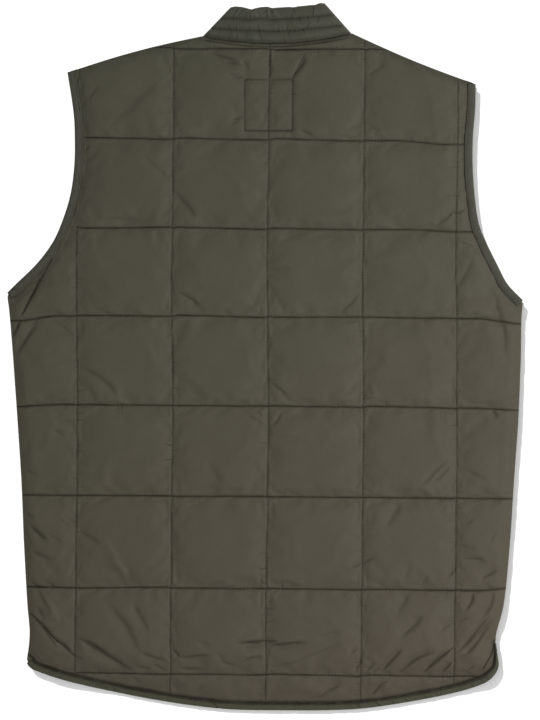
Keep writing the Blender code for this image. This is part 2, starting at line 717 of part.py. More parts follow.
def add_collar(surface):
    """The collar: one band, channelled outside, folded flat at both sides and lapped in front."""
    seam, top = back_neck(), collar_top()
    levels = collar_levels()
    fold_middle = (FRONT_TALL + BACK_INSIDE) / 2

    def spot(low, high, level):
        up = high - low
        start = low + up / np.linalg.norm(up) * SEAM_GAP
        return start + level * (high - start)

    def back_ring(index):
        outside, inside = [], []
        for level in levels:
            flat = spot(seam[index], top[index], level)
            base = back_inside(flat[None, :])[0]
            outside.append((*flat, base + collar_wall(level)))
        for level in COLLAR_INSIDE_ROWS:
            flat = spot(seam[index], top[index], level)
            inside.append((*flat, back_inside(flat[None, :])[0]))
        return outside, inside

    def bend_ring(root, tip, turn):
        reach, rise = math.cos(turn), math.sin(turn)
        outside, inside = [], []
        for level in levels:
            start = spot(seam[root], top[root], level)
            end = spot(seam[tip], top[tip], level)
            upper = BACK_INSIDE + collar_wall(level) - fold_middle
            height = upper if rise > 0 else fold_middle
            outside.append((*(start + reach * (end - start)), fold_middle + rise * height))
        for level in COLLAR_INSIDE_ROWS:
            start = spot(seam[root], top[root], level)
            end = spot(seam[tip], top[tip], level)
            flat = start + COLLAR_FOLD_INSIDE * reach * (end - start)
            inside.append((*flat, fold_middle + rise * SEAM_GAP / 2))
        return outside, inside

    def front_rings(side):
        root = 1 if side == LEFT else -2
        low = front_curve(side, seam[root], FRONT_NECK)
        high = front_curve(side, top[root], FRONT_NECK + COLLAR_HEIGHT)
        rings = []
        for index in range(len(low)):
            lapped = index >= COLLAR_CURVE_STATIONS
            floor = LAP_LEVEL + SEAM_GAP if lapped and side == RIGHT else 0.0
            roof = LAP_LEVEL if lapped and side == LEFT else FRONT_TALL
            outside = [(*spot(low[index], high[index], level), floor) for level in levels]
            inside = [(*spot(low[index], high[index], level), roof) for level in COLLAR_INSIDE_ROWS]
            rings.append((outside, inside))
        return rings

    bends = [math.radians(turn) for turn in COLLAR_BEND]
    rings = front_rings(LEFT)[::-1]
    rings += [bend_ring(1, 0, turn) for turn in reversed(bends)]
    rings += [back_ring(index) for index in range(1, len(seam) - 1)]
    rings += [bend_ring(-2, -1, turn) for turn in bends]
    rings += front_rings(RIGHT)
    size = len(levels) + len(COLLAR_INSIDE_ROWS)
    vertices = [vertex for outside, inside in rings for vertex in outside + inside[::-1]]
    faces = [list(range(size)), list(range((len(rings) - 1) * size, len(rings) * size))]
    for ring in range(len(rings) - 1):
        for index in range(size):
            follower = (index + 1) % size
            near, far = ring * size, (ring + 1) * size
            faces.append([near + index, near + follower, far + follower, far + index])
    return add_piece("collar", vertices, faces, surface)


def turned(name, profile, sides, surface):
    """A piece turned from a profile of radii and levels that starts and ends on its axis."""
    vertices = [(0.0, 0.0, profile[0][1]), (0.0, 0.0, profile[-1][1])]
    for radius, level in profile:
        for turn in np.linspace(0.0, 2 * math.pi, sides, endpoint=False):
            vertices.append((radius * math.cos(turn), radius * math.sin(turn), level))
    faces = []
    last = 2 + (len(profile) - 1) * sides
    for index in range(sides):
        follower = (index + 1) % sides
        faces.append([0, 2 + follower, 2 + index])
        faces.append([1, last + index, last + follower])
        for ring in range(len(profile) - 1):
            near, far = 2 + ring * sides, 2 + (ring + 1) * sides
            faces.append([near + index, near + follower, far + follower, far + index])
    return add_piece(name, vertices, faces, surface)


def add_studs(front, surface):
    """Stud caps down the centre front, each in a shallow recess so that the underside stays flat."""
    for index, along in enumerate(np.linspace(STUD_FIRST, STUD_LAST, STUD_COUNT)):
        place = (front_centre(along), along, 0.0)
        cap = turned(
            f"stud_{index + 1}",
            [
                (STUD_RADIUS - STUD_EDGE, 0.0),
                (STUD_RADIUS, STUD_EDGE),
                (STUD_RADIUS, STUD_TALL),
            ],
            STUD_SIDES,
            surface,
        )
        cap.location = place
        reach = STUD_RADIUS + SEAM_GAP
        depth = STUD_TALL + SEAM_GAP
        cutter = turned(f"recess_{index + 1}", [(reach, -depth), (reach, depth)], STUD_SIDES, surface)
        cutter.location = place
        cutter.hide_render = True
        cutter.display_type = "WIRE"
        cut = front.modifiers.new(f"recess {index + 1}", "BOOLEAN")
        cut.operation = "DIFFERENCE"
        cut.object = cutter


def build():
    """The whole gilet."""
    for thing in list(bpy.data.objects):
        bpy.data.objects.remove(thing, do_unlink=True)
    cloth = material("quilted nylon", CLOTH_COLOUR, 0.55)
    tape = material("binding tape", BINDING_COLOUR, 0.60)
    metal = material("stud metal", METAL_COLOUR, 0.35, 0.9)
    add_back(cloth)
    fronts = {
        LEFT: add_front(LEFT, "front_left", cloth),
        RIGHT: add_front(RIGHT, "front_right", cloth),
    }
    add_collar(cloth)
    for side, word in ((LEFT, "left"), (RIGHT, "right")):
        edge = armhole_path(side) if side == RIGHT else armhole_path(side)[::-1]
        sweep(f"armhole_binding_{word}_back", edge, back_inside, tape)
        sweep(f"armhole_binding_{word}_front", edge, on_surface, tape)
        hem = front_hem(side)[0]
        sweep(f"hem_binding_front_{word}", hem if side == LEFT else hem[::-1], on_surface, tape)
    sweep("hem_binding_back", smooth_path(BACK_HEM), back_inside, tape)
    add_studs(fronts[LEFT], metal)


build()
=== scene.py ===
"""Dresses a packed gilet, laid flat with its back uppermost, as a quilted nylon garment.

X runs across the back, Y from the hem to the collar and Z up from the floor, all in metres.
"""

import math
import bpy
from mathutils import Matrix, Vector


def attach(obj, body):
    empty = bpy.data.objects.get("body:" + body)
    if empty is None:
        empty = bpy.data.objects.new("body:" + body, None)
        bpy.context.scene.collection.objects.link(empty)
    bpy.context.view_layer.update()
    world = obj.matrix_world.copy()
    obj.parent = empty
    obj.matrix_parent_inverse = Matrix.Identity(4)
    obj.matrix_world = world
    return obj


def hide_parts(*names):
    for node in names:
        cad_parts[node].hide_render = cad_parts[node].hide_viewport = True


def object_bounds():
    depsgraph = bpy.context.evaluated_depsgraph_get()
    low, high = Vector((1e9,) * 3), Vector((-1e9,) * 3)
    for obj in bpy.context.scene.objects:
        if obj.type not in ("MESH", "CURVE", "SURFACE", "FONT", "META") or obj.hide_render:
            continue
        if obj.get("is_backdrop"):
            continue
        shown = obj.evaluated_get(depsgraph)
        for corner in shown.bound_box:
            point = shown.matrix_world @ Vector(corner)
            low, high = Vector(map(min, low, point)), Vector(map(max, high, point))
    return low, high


bl_info = {
    "name": "Quilted gilet",
    "version": (1, 0, 0),
    "blender": (4, 5, 0),
    "location": "View3D > Sidebar > Gilet",
    "description": "Builds a quilted gilet that lies flat with its back uppermost",
    "category": "Object",
}

from collections import namedtuple

import bpy
import numpy as np
from bpy.props import FloatProperty, FloatVectorProperty, PointerProperty
from mathutils import Vector

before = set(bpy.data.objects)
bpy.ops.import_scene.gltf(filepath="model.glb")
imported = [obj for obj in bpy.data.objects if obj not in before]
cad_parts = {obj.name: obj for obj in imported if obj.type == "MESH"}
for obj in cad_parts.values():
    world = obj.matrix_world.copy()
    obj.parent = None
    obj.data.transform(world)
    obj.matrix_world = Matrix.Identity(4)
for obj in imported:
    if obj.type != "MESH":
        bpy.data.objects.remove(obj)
CAD_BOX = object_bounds()
BODY = "root"

# Layers: the fronts fill the first one and the back lies on it
SEAM_GAP = 0.0003
BINDING_LIFT = 0.0015
PRESSED_EDGE = 0.0024
BINDING_SEAT = 0.0018
BINDING_SLOT = 0.0015
BINDING_WALL = 0.0012
PRESSED_FADE = 0.0034
FRONT_TALL = 0.0054
BACK_INSIDE = FRONT_TALL + SEAM_GAP
SEAM_EDGE = 0.0020
EDGE_ROUND = 0.015
NECK_ROUND = 0.006

# Where nothing lies under the back, at the tail and in the neck, it sinks to the floor
FRONT_HEM = -0.3200
TAIL_SHORT = 0.028
TAIL_LONG = 0.046
TAIL_FLAT = 0.014
NECK_SAG = 0.0040
NECK_HOLE_CENTRE = (0.0136, 0.3850)
NECK_HOLE_HALF = (0.040, 0.062)

# Quilting: where the pattern's middle lies, and the lines to each side of it that show
QUILT_CENTRE = (0.0027, -0.0550)
UPRIGHT_LINES = (-2, -1, 0, 1, 2)
LEVEL_LINES = (-3, -2, -1, 0, 1, 2, 3, 4)
LINE_MARGIN = 0.004
LEVEL_SHIFTS = (0.0022, -0.0014, 0.0009, 0.0016, 0.0010, -0.0009, -0.0016, -0.0009)
LEFT_DROOPS = (0.0, 0.0, 0.0, 0.0025, 0.0068, 0.0, 0.0, 0.0)
RIGHT_DROOPS = (0.0, -0.0030, 0.0, 0.0025, 0.0055, 0.0020, 0.0040, 0.0)
DROOPS_FROM = (0.225, 0.225, 0.225, 0.225, 0.225, 0.160, 0.140, 0.225)
DROOP_OVER = 0.050
UPRIGHT_SHIFTS = (0.0005, 0.0002, 0.0, -0.0002, -0.0026)
ROW_SHIFTS = (0.0, 0.0, 0.0003, 0.0009, 0.0, -0.0018, -0.0011, -0.0010)
ENDING_LEVEL = 2
SEWN_WIDTH = 0.0004
STRAY_LEVEL = 0.0012
STRAY_UPRIGHT = 0.0007
STRAY_WAVE = 0.0003
STRAY_WAVE_LENGTH = 0.021
STRAY_TURN = 0.05
STRAY_SPAN = 12
GRID_ROUNDS = 6
FREE_LINE = 0.004
FREE_EDGE = 0.014
LINE_SOFTNESS = 0.003

# The loose cloth: uneven swell, faint folds and the sag above a level line. Lengths are those of the
# noise that shapes them, across and along.
SWELL_UNEVEN = 0.45
SWELL_LENGTH = 0.045
QUICK_LENGTHS = (0.014, 0.011)
QUICK_SHARE = 0.25
FOLD_LENGTHS = (0.052, 0.043)
FOLD_SHARP = 6
SAG_PLACE = 0.010
SAG_WIDTH = 0.007
SAG_LENGTHS = (0.028, 0.05)
SAG_USUAL = 0.2

# Seeds of the random draws
SEED_SLOW, SEED_QUICK, SEED_SWELL, SEED_SAG, SEED_FOLD = range(31, 36)
SEED_PUCKER, SEED_WIDE, SEED_SLANT, SEED_PATCH, SEED_TOP = range(41, 46)
SEED_TAPE = 50
SEED_CREASE, SEED_CREASE_DEPTH = 71, 72
SEED_UPRIGHT, SEED_LEVEL = 81, 83

# Centre front: the left front laps over the right one
FRONT_CENTRE = 0.0027
FRONT_LEAN = 0.008
FRONT_NECK = 0.2720
LAP = 0.012
LAP_STEP = (0.013, 0.016)
LAP_LEVEL = 0.0025
LAP_BOUND = 0.020
LAP_POINTS = 3

# Collar: three channels between lines of stitching, folded flat at both sides
COLLAR_LINES = (0.03, 0.34, 0.675, 1.0)
COLLAR_DROOP = 0.09
COLLAR_DROOP_POWER = 5.0
COLLAR_LINE_WALL = 0.0026
COLLAR_CHANNEL_SHAPE = 0.7
COLLAR_FOLD = 0.0045
COLLAR_FOLD_INSIDE = 0.1
COLLAR_PARTS = 12
COLLAR_RINGS = 121
COLLAR_INSIDE = np.linspace(1.0, 0.0, 5)
COLLAR_TURNS = np.radians(np.linspace(75.0, -75.0, 11))
COLLAR_DENT = 0.0010
COLLAR_WAVE = 0.0009
COLLAR_WAVE_LENGTH = 0.009
COLLAR_DIP = 0.0016
COLLAR_DIP_PLACE = -0.0150
COLLAR_DIP_WIDTH = 0.008
COLLAR_TOP_LIFT = 0.0046
COLLAR_TOP_SHAPE = 6
NECK_DEPTH = 0.0098
NECK_SHAPE = 0.75
NECK_STITCH = 0.0042

# The collar's puckers: how strong each set of noise is, and its lengths along and up the band
Pucker = namedtuple("Pucker", "strength along up")
PUCKER_NARROW = Pucker(1.4, 0.0055, 0.013)
PUCKER_WIDE = Pucker(0.6, 0.014, 0.02)
PUCKER_SLANT = Pucker(0.6, 0.026, 0.02)
PUCKER_PATCH = Pucker(0.9, 0.019, 0.011)
PUCKER_HEIGHT = 0.00075
PUCKER_AT_LINE = 0.25

# The edge seen from above. Sections give where it lies to the left and to the right of X = 0.
Section = namedtuple("Section", "along left right")
Spot = namedtuple("Spot", "across along")
SIDES = (
    Section(-0.3000, -0.2557, 0.2512),
    Section(-0.2658, -0.2584, 0.2598),
    Section(-0.2005, -0.2620, 0.2662),
    Section(-0.1351, -0.2647, 0.2705),
    Section(-0.0697, -0.2689, 0.2751),
    Section(-0.0044, -0.2735, 0.2778),
    Section(0.0392, -0.2769, 0.2785),
)
ARMPITS = (Spot(-0.2800, 0.0697), Spot(0.2800, 0.0616))
ARMHOLES = (
    Section(0.0795, -0.2702, 0.2631),
    Section(0.1013, -0.2479, 0.2517),
    Section(0.1231, -0.2315, 0.2408),
    Section(0.1449, -0.2212, 0.2321),
    Section(0.1754, -0.2116, 0.2277),
    Section(0.2081, -0.2072, 0.2255),
    Section(0.2408, -0.2067, 0.2259),
    Section(0.2680, -0.2083, 0.2282),
)
SHOULDER_TIPS = (Spot(-0.2146, 0.3089), Spot(0.2288, 0.2963))
SHOULDER_ARCHES = (0.0030, -0.0023)
NECK_POINTS = (Spot(-0.0675, 0.3486), Spot(0.0937, 0.3519))
COLLAR_TIPS = (Spot(-0.0375, 0.3800), Spot(0.0647, 0.3846))
BACK_HEM = (
    Spot(-0.2588, -0.3323),
    Spot(-0.2500, -0.3403),
    Spot(-0.2016, -0.3557),
    Spot(-0.1253, -0.3721),
    Spot(-0.0500, -0.3826),
    Spot(0.0160, -0.3846),
    Spot(0.0926, -0.3836),
    Spot(0.1471, -0.3770),
    Spot(0.2016, -0.3666),
    Spot(0.2321, -0.3574),
    Spot(0.2460, -0.3490),
    Spot(0.2535, -0.3370),
    Spot(0.2525, -0.3230),
    Spot(0.2508, -0.3110),
)
FRONT_CORNERS = (Spot(-0.2560, -0.3150), Spot(0.2508, -0.3110))
FRONT_HEM_SHAPE = 3

# Creases, read from the photo. Each has where it starts and ends in pixels, and its width and
# depth in millimetres. A negative depth is a ridge. Where they aren't the usual ones, its bow to the
# left of its run follows, in pixels, and the height of the bank beside it as a share of the depth.
PIXEL = 0.001087
ORIGIN_PIXEL = (265, 357)
MILLIMETRE = 0.001
USUAL_BOW = 0.0
USUAL_BANK = 0.5
READ_CREASES = (
    # Left armpit
    ((52, 258), (20, 320), 2.2, 1.6, -0.5),
    ((46, 269), (26, 311), 2.2, 0.9, 1.5),
    ((21, 319), (13, 339), 2.4, 1.6),
    ((40, 317), (14, 359), 4.2, 1.6),
    # Left side, from the top down
    ((48, 362), (75, 359), 3.0, 0.7, 0, 0.4),
    ((62, 326), (76, 336), 2.4, 0.7),
    ((54, 428), (66, 436), 2.6, 1.2),
    ((62, 422), (79, 424), 3.0, 0.7),
    ((68, 454), (80, 452), 2.2, 0.8),
    ((25, 470), (41, 475), 3.0, 1.2),
    ((26, 512), (37, 518), 2.4, 1.3),
    ((28, 524), (50, 542), 3.2, 1.9, 0, 0.6),
    ((45, 532), (65, 543), 2.4, 1.0),
    ((60, 517), (73, 528), 2.0, 0.8),
    ((65, 515), (77, 526), 2.0, 0.6),
    ((27, 552), (55, 561), 3.0, 1.5, 2),
    ((27, 557), (35, 559), 2.2, 1.0),
    ((43, 566), (58, 577), 4.0, -0.8, 0, 0.3),
    ((31, 580), (43, 588), 2.2, 1.2),
    ((44, 579), (57, 589), 2.0, 0.8),
    # Left corner of the hem
    ((36, 585), (53, 615), 3.4, 1.0),
    ((44, 590), (61, 624), 5.0, -1.0, 0, 0.3),
    ((36, 604), (47, 622), 2.2, 1.2, 0, 0.4),
    ((30, 611), (79, 657), 3.0, 2.3, -2, 0.6),
    ((43, 623), (60, 647), 2.0, 0.7, -1.5, 0.4),
    ((70, 655), (86, 659), 2.4, 1.0),
    # Lower left squares
    ((76, 368), (121, 400), 4.8, 1.8, 5.5),
    ((80, 530), (103, 544), 3.4, 1.5, -1),
    ((103, 533), (132, 587), 4.6, -1.2, 0, 0.3),
    ((104, 599), (142, 656), 6.0, 1.6, 3.5, 0.6),
    ((132, 598), (150, 633), 4.0, 1.3),
    ((77, 635), (134, 672), 5.0, 3.2, 0, 0.7),
    ((138, 650), (170, 661), 3.4, 1.6, -1),
    ((134, 665), (152, 669), 2.6, 1.0),
    ((152, 662), (168, 671), 2.4, 0.9),
    ((128, 675), (142, 682), 3.0, 1.0),
    ((172, 688), (188, 683), 3.0, 1.0),
    ((194, 691), (204, 684), 2.6, 0.9),
    # Lower middle squares
    ((172, 648), (181, 657), 2.6, 1.4),
    ((176, 657), (213, 652), 3.2, 1.8, -2),
    ((197, 640), (211, 644), 2.6, 0.9),
    ((176, 667), (211, 669), 3.0, 1.2),
    ((217, 650), (224, 661), 2.6, 1.1),
    ((220, 660), (234, 664), 2.4, 1.0),
    ((236, 643), (277, 640), 3.6, 2.6, 0, 0.6),
    ((266, 647), (310, 641), 3.4, 2.0, 1),
    ((240, 664), (265, 657), 2.6, 1.2, 2.5),
    ((316, 637), (341, 629), 4.0, 1.2),
    ((264, 668), (352, 634), 4.0, 1.2, -5, 0.4),
    ((339, 685), (318, 697), 3.0, 1.6),
    ((278, 692), (315, 692), 2.6, 0.8),
    ((353, 692), (343, 695), 2.2, 1.0),
    ((362, 655), (354, 672), 2.6, 1.2, 0, 0.4),
    ((358, 647), (349, 652), 2.2, 1.0),
    # Lower right squares
    ((424, 613), (398, 639), 4.2, 1.5),
    ((409, 590), (397, 615), 4.5, 1.0, 0, 0.4),
    ((457, 620), (438, 630), 3.0, 1.2),
    ((376, 662), (364, 671), 2.8, 1.3),
    ((380, 666), (372, 672), 2.2, 1.0),
    ((403, 647), (379, 670), 3.8, 1.8),
    ((439, 651), (397, 672), 3.8, 2.2, -4.5, 0.6),
    ((455, 645), (420, 674), 2.8, 2.0),
    ((452, 661), (439, 673), 2.6, 1.4),
    ((388, 680), (369, 696), 3.0, 1.6),
    ((398, 683), (384, 690), 2.4, 0.8),
    # Right corner of the hem
    ((472, 590), (462, 611), 3.4, 1.5, 2.5),
    ((494, 589), (479, 619), 5.0, 1.3, 2, 0.4),
    ((490, 615), (455, 653), 3.0, 1.9),
    ((495, 615), (456, 661), 4.0, 2.0, 2),
    ((475, 664), (466, 672), 2.2, 1.0),
    ((468, 617), (455, 621), 2.4, 0.9),
    # Right side, from the top down
    ((457, 243), (481, 252), 3.4, 1.1, 2),
    ((473, 256), (457, 289), 4.6, 1.0),
    ((486, 278), (505, 357), 6.5, 1.3, 2.5),
    ((490, 408), (498, 418), 2.8, 1.5, 0, 0.4),
    ((473, 448), (459, 456), 2.4, 0.5),
    ((464, 468), (487, 482), 2.6, 0.6),
    ((473, 518), (463, 524), 2.4, 0.9),
    ((457, 545), (476, 551), 2.8, 1.0, 1),
    ((460, 559), (486, 561), 3.0, 1.5, 3),
    ((499, 570), (480, 579), 3.2, 1.4, -2.5),
    ((497, 532), (489, 541), 2.6, 0.8),
    # Middle right squares
    ((450, 456), (420, 486), 2.8, 1.1),
    ((453, 463), (431, 485), 3.0, 1.3),
    ((401, 501), (385, 527), 5.0, 1.3),
    ((376, 557), (349, 568), 2.8, 1.5),
    ((457, 565), (447, 576), 2.8, 1.3),
    ((429, 573), (420, 586), 2.4, 0.8),
    ((412, 561), (402, 582), 4.0, 0.9),
    # Middle squares
    ((92, 221), (168, 222), 5.5, 1.2, 0, 0.3),
    ((174, 291), (200, 309), 3.2, 1.5, 3),
    ((359, 292), (339, 313), 4.4, 1.2),
    ((268, 270), (292, 269), 2.6, 1.1),
    ((268, 380), (287, 397), 3.0, 1.4, 1),
    ((247, 414), (264, 424), 2.2, 0.8),
    ((256, 410), (264, 420), 2.0, 0.6),
    ((281, 411), (267, 428), 2.2, 0.9, 3),
    ((207, 460), (223, 487), 6.0, 0.9, 0, 0.4),
    ((269, 436), (302, 439), 5.0, 0.7, 0, 0.4),
    # Left shoulder and round the box
    ((163, 74), (112, 124), 11.0, 2.0, 0, 0.4),
    ((101, 84), (88, 101), 3.4, 0.9),
    ((101, 151), (84, 165), 4.0, 0.9),
    ((91, 146), (84, 152), 2.4, 1.0),
    ((142, 155), (172, 183), 3.6, 0.8),
    ((174, 192), (198, 220), 4.0, 1.2),
    ((179, 173), (212, 170), 5.0, 0.6, 0, 0.4),
    ((211, 55), (240, 63), 3.0, 1.9),
    ((219, 62), (244, 66), 2.6, 1.5),
    ((241, 61), (250, 71), 2.8, 1.2),
    ((228, 73), (245, 81), 2.6, 1.6),
    ((243, 117), (231, 121), 2.2, 1.0),
    ((239, 122), (231, 126), 2.2, 0.9),
    ((305, 55), (291, 81), 2.8, 2.0, 2),
    ((300, 130), (312, 136), 2.2, 0.9),
    ((270, 50), (270, 79), 2.2, 0.9, 0, 0.3),
    # Right shoulder
    ((386, 64), (367, 76), 4.0, 0.8),
    ((365, 124), (381, 133), 3.0, 1.0),
    ((454, 211), (435, 226), 4.2, 1.1),
    ((467, 209), (454, 216), 2.2, 1.0),
    ((366, 190), (396, 191), 4.5, 0.6, 0, 0.4),
)

# The sharpest creases have a thin line of painted shade at their foot: its ends in pixels of the photo,
# its width in millimetres and how dark it is
SHARP_LINES = (
    # Left armpit
    ((52, 259), (45, 273), 0.8, 0.75),
    ((48, 267), (21, 319), 0.6, 0.90),
    ((43, 273), (20, 320), 0.6, 0.90),
    ((22, 322), (13, 339), 0.7, 0.65),
    ((41, 317), (31, 326), 0.7, 0.40),
    ((46, 268), (17, 297), 0.8, 0.40),
    # Turned end of the armhole's tape
    ((9, 289), (19, 290), 0.7, 0.55),
    ((17, 288), (19, 296), 0.7, 0.55),
    ((20, 295), (9, 299), 0.7, 0.55),
    # Left corner of the hem
    ((30, 612), (44, 624), 0.9, 0.85),
    ((43, 623), (61, 644), 0.8, 0.95),
    ((41, 625), (59, 648), 0.6, 0.50),
    ((36, 615), (47, 625), 0.6, 0.45),
    ((57, 639), (76, 656), 0.8, 0.60),
    ((77, 636), (97, 649), 1.2, 0.40),
    # Middle of the hem
    ((238, 642), (262, 642), 1.1, 0.50),
    ((256, 641), (279, 640), 1.1, 0.50),
    ((270, 646), (283, 641), 0.9, 0.40),
    ((278, 642), (296, 642), 1.1, 0.45),
    # Right squares and corner of the hem
    ((341, 685), (327, 691), 0.9, 0.35),
    ((329, 689), (319, 698), 0.9, 0.40),
    ((389, 681), (378, 685), 0.9, 0.40),
    ((382, 682), (372, 696), 0.9, 0.50),
    ((402, 647), (382, 671), 1.3, 0.35),
    ((412, 662), (400, 672), 1.0, 0.40),
    ((456, 644), (435, 660), 0.7, 0.60),
    ((440, 654), (422, 673), 0.7, 0.65),
    ((452, 661), (442, 673), 0.7, 0.50),
    ((492, 619), (465, 645), 1.0, 0.35),
    ((495, 641), (489, 659), 1.0, 0.95),
    ((491, 654), (482, 670), 1.0, 0.85),
    # Beside the box and above it
    ((306, 53), (291, 81), 0.8, 0.60),
    ((212, 55), (236, 62), 0.8, 0.30),
    ((271, 48), (270, 66), 1.0, 0.60),
    ((270, 62), (270, 80), 0.9, 0.45),
    # Collar, from the top channel down
    ((250, 13), (250, 20), 0.8, 0.40),
    ((267, 10), (268, 19), 0.8, 0.55),
    ((294, 8), (295, 15), 0.8, 0.45),
    ((314, 6), (313, 17), 0.8, 0.60),
    ((228, 24), (231, 32), 0.8, 0.35),
    ((259, 24), (259, 34), 0.8, 0.50),
    ((320, 17), (317, 25), 0.9, 0.40),
    ((310, 22), (307, 29), 0.9, 0.35),
    ((238, 35), (238, 40), 0.7, 0.45),
    ((261, 34), (262, 41), 0.7, 0.50),
    # Folds across the hem's tape, from the left
    ((49, 667), (56, 672), 0.9, 0.45),
    ((92, 682), (110, 689), 0.9, 0.40),
    ((110, 683), (116, 692), 0.9, 0.40),
    ((209, 700), (219, 709), 0.8, 0.60),
    ((237, 699), (239, 706), 0.8, 0.45),
    ((300, 700), (313, 704), 0.9, 0.60),
    ((321, 699), (329, 708), 0.9, 0.45),
    ((353, 701), (360, 708), 0.9, 0.55),
    ((373, 700), (382, 708), 0.9, 0.60),
    ((389, 698), (396, 706), 0.9, 0.35),
    ((403, 697), (410, 704), 0.9, 0.50),
    ((421, 693), (428, 700), 0.9, 0.45),
    ((433, 691), (440, 697), 0.9, 0.35),
    ((468, 681), (474, 688), 0.9, 0.45),
    ((482, 674), (489, 680), 0.9, 0.40),
)
SHARP_SETS = 3
SHARP_FADE = 0.16
SHARP_NEAR = 0.0025
SHARP_WOBBLE = 0.0003
SHARP_DEPTH = 1.2
CREASE_FADE = 0.32
CREASE_REACH = 10.0
CREASE_NARROW = 0.4
CREASE_GENTLE = 1.5
CREASE_STEEP = 0.55
CREASE_BANK = 2.4
CREASE_WOBBLE = 0.0010
CREASE_WOBBLE_LENGTH = 0.014
CREASE_APART = 31.7
DRAW_SHARE = 0.5
DRAW_REACH = 2.2
DRAW_FADE = 0.1
CREASE_UNEVEN = 0.35

# The stitched box below the collar: its sides from left to right and from bottom to top
BOX_SIDES = (-0.0220, 0.0300)
BOX_ENDS = (0.2452, 0.3006)
BOX_WIDTH = 0.0020
BOX_GROOVE = 0.0008
BOX_GROOVE_WIDTH = 0.0012
BOX_DIP = 0.0003
BOX_DIP_WIDTH = 0.006

# The cloth simulation
SIM_FRAMES = 20
SIM_SETTINGS = {
    "quality": 5,
    "mass": 0.001,
    "bending_stiffness": 0.5,
    "tension_stiffness": 15.0,
    "compression_stiffness": 15.0,
    "use_pressure": True,
    "uniform_pressure_force": 2.0,
}
SIM_CAP = 0.0025
SIM_SHARE = 0.7
SIM_STEP = 2

# Which way the cloth turns browner and lighter and the collar paler, and between which places
Drift = namedtuple("Drift", "direction start end")
CLOTH_DRIFT = Drift((0.35, -0.94, 0.0), -0.34, 0.38)
COLLAR_DRIFT = Drift((1.0, 0.3, 0.0), 0.10, 0.19)
TAPE_DRIFT = Drift((0.0, -1.0, 0.0), 0.0, 0.40)

# How much painted shade darkens the cloth on its lines of stitching and the tapes at their inner edge
SEAM_SHADES = (0.85, 0.60, 0.78)
SEAM_WIDTHS = (0.0009, 0.0016, 0.0021)
HEM_ONLY = 0.0042
BOX_NARROW = 1.5
UPRIGHT_PALE = 0.0009
NECK_PALE = 0.0011
COLLAR_PALE = 0.0004
FAR = 1.0
HEM_TAPE_SHADE = 1.15
ARMHOLE_TAPE_SHADE = 0.16
TAPE_DARKEST = 0.95
TAPE_SEAM = 0.0078
TAPE_SEAM_WIDTH = 0.0018
TAPE_STITCH = 0.0018
TAPE_GROOVE = 0.0006
ARMHOLE_RELIEF = 0.25

# A tape's upper side from its inner edge to the cloth's: how far from the first, how far below the top
# and how far the groove of its stitching lowers it or raises it
TapeStep = namedtuple("TapeStep", "inset below groove")
TAPE_TOP = (
    TapeStep(0.0, 0.0012, 0.0),
    TapeStep(0.0, 0.0004, 0.0),
    TapeStep(0.0006, 0.0, 0.0),
    TapeStep(0.0013, 0.0, -0.0002),
    TapeStep(TAPE_STITCH, 0.0, -TAPE_GROOVE),
    TapeStep(0.0023, 0.0, -0.0002),
    TapeStep(0.0032, 0.0, 0.0003),
    TapeStep(0.0046, 0.0, 0.0004),
)
TAPE_NOSE = 0.0030
TAPE_NOSE_PARTS = 9
TAPE_STEP = 0.0016
TAPE_RIPPLE = 0.00042
TAPE_RIPPLE_LENGTHS = (0.0055, 0.021)
TAPE_RIPPLE_SLOW = 0.8

# The swell beside the armholes, and the painted shades of creases, shoulders and puckers
ARMHOLE_SOFTNESS = 0.0055
CREASE_SHADE = 0.55
CREASE_SHADE_WIDTHS = (0.55, 0.25)
CREASE_STEEPNESS = (0.2, 0.8)
SHOULDER_SHADE = 0.3
SHOULDER_WIDTHS = (0.012, 0.007)
TICK_SHADE = 0.35
TICK_PATCH_SCALE = 18.0
TICK_PATCH_RANGE = (0.15, 1.5, 0.38, 0.62)
TICK_SLANT_SCALE = 60.0
TICK_LEAN = 1.5
TICK_WIDTH = 0.10
TICK_PITCH = 0.008
TICK_APART = 7.31
TICK_FADE = 1.3

# Puckers of each cloth: how far they reach from a line, how deep their bump is, and how strong they
# are across the upright and the level lines
Ticks = namedtuple("Ticks", "reach depth weights")
CLOTH_TICKS = Ticks(0.016, 1.9, (1.0, 0.5))
COLLAR_TICKS = Ticks(0.012, 2.4, (0.0, 1.0))
TAPE_TICKS = Ticks(0.016, 1.0, (0.0, 1.0))

# Noise in the materials as scale, detail and roughness, and the ranges that it is spread over
DYE_SLOW = (14.0, 3.0, 0.5)
DYE_QUICK = (160.0, 4.0, 0.6)
DYE_SHARES = (0.6, 0.4)
DYE_RANGE = (0.0, 1.0, 0.36, 0.64)
CRINKLE_LARGE = (90.0, 2.0, 0.5)
CRINKLE_SMALL = (320.0, 3.0, 0.5)
CRINKLE_SHARE = 0.35
SEAM_NOISE = (45.0, 2.0, 0.5)
SEAM_RANGE = (0.55, 1.45)
TAPE_NOISE = (110.0, 2.0, 0.5)
TAPE_RANGE = (0.2, 1.5)
NYLON_THREADS = 900.0
TAPE_THREADS = 420.0
WEAVE_UNEVEN = 0.4
NYLON_WEAVE = 0.04
TAPE_WEAVE = 0.2
BUMP_STRENGTH = 0.6
NYLON_BUMP = 0.0006
TAPE_BUMP = 0.0010
THREAD_WEAR = 1.3
STUD_WEAR = 1.25

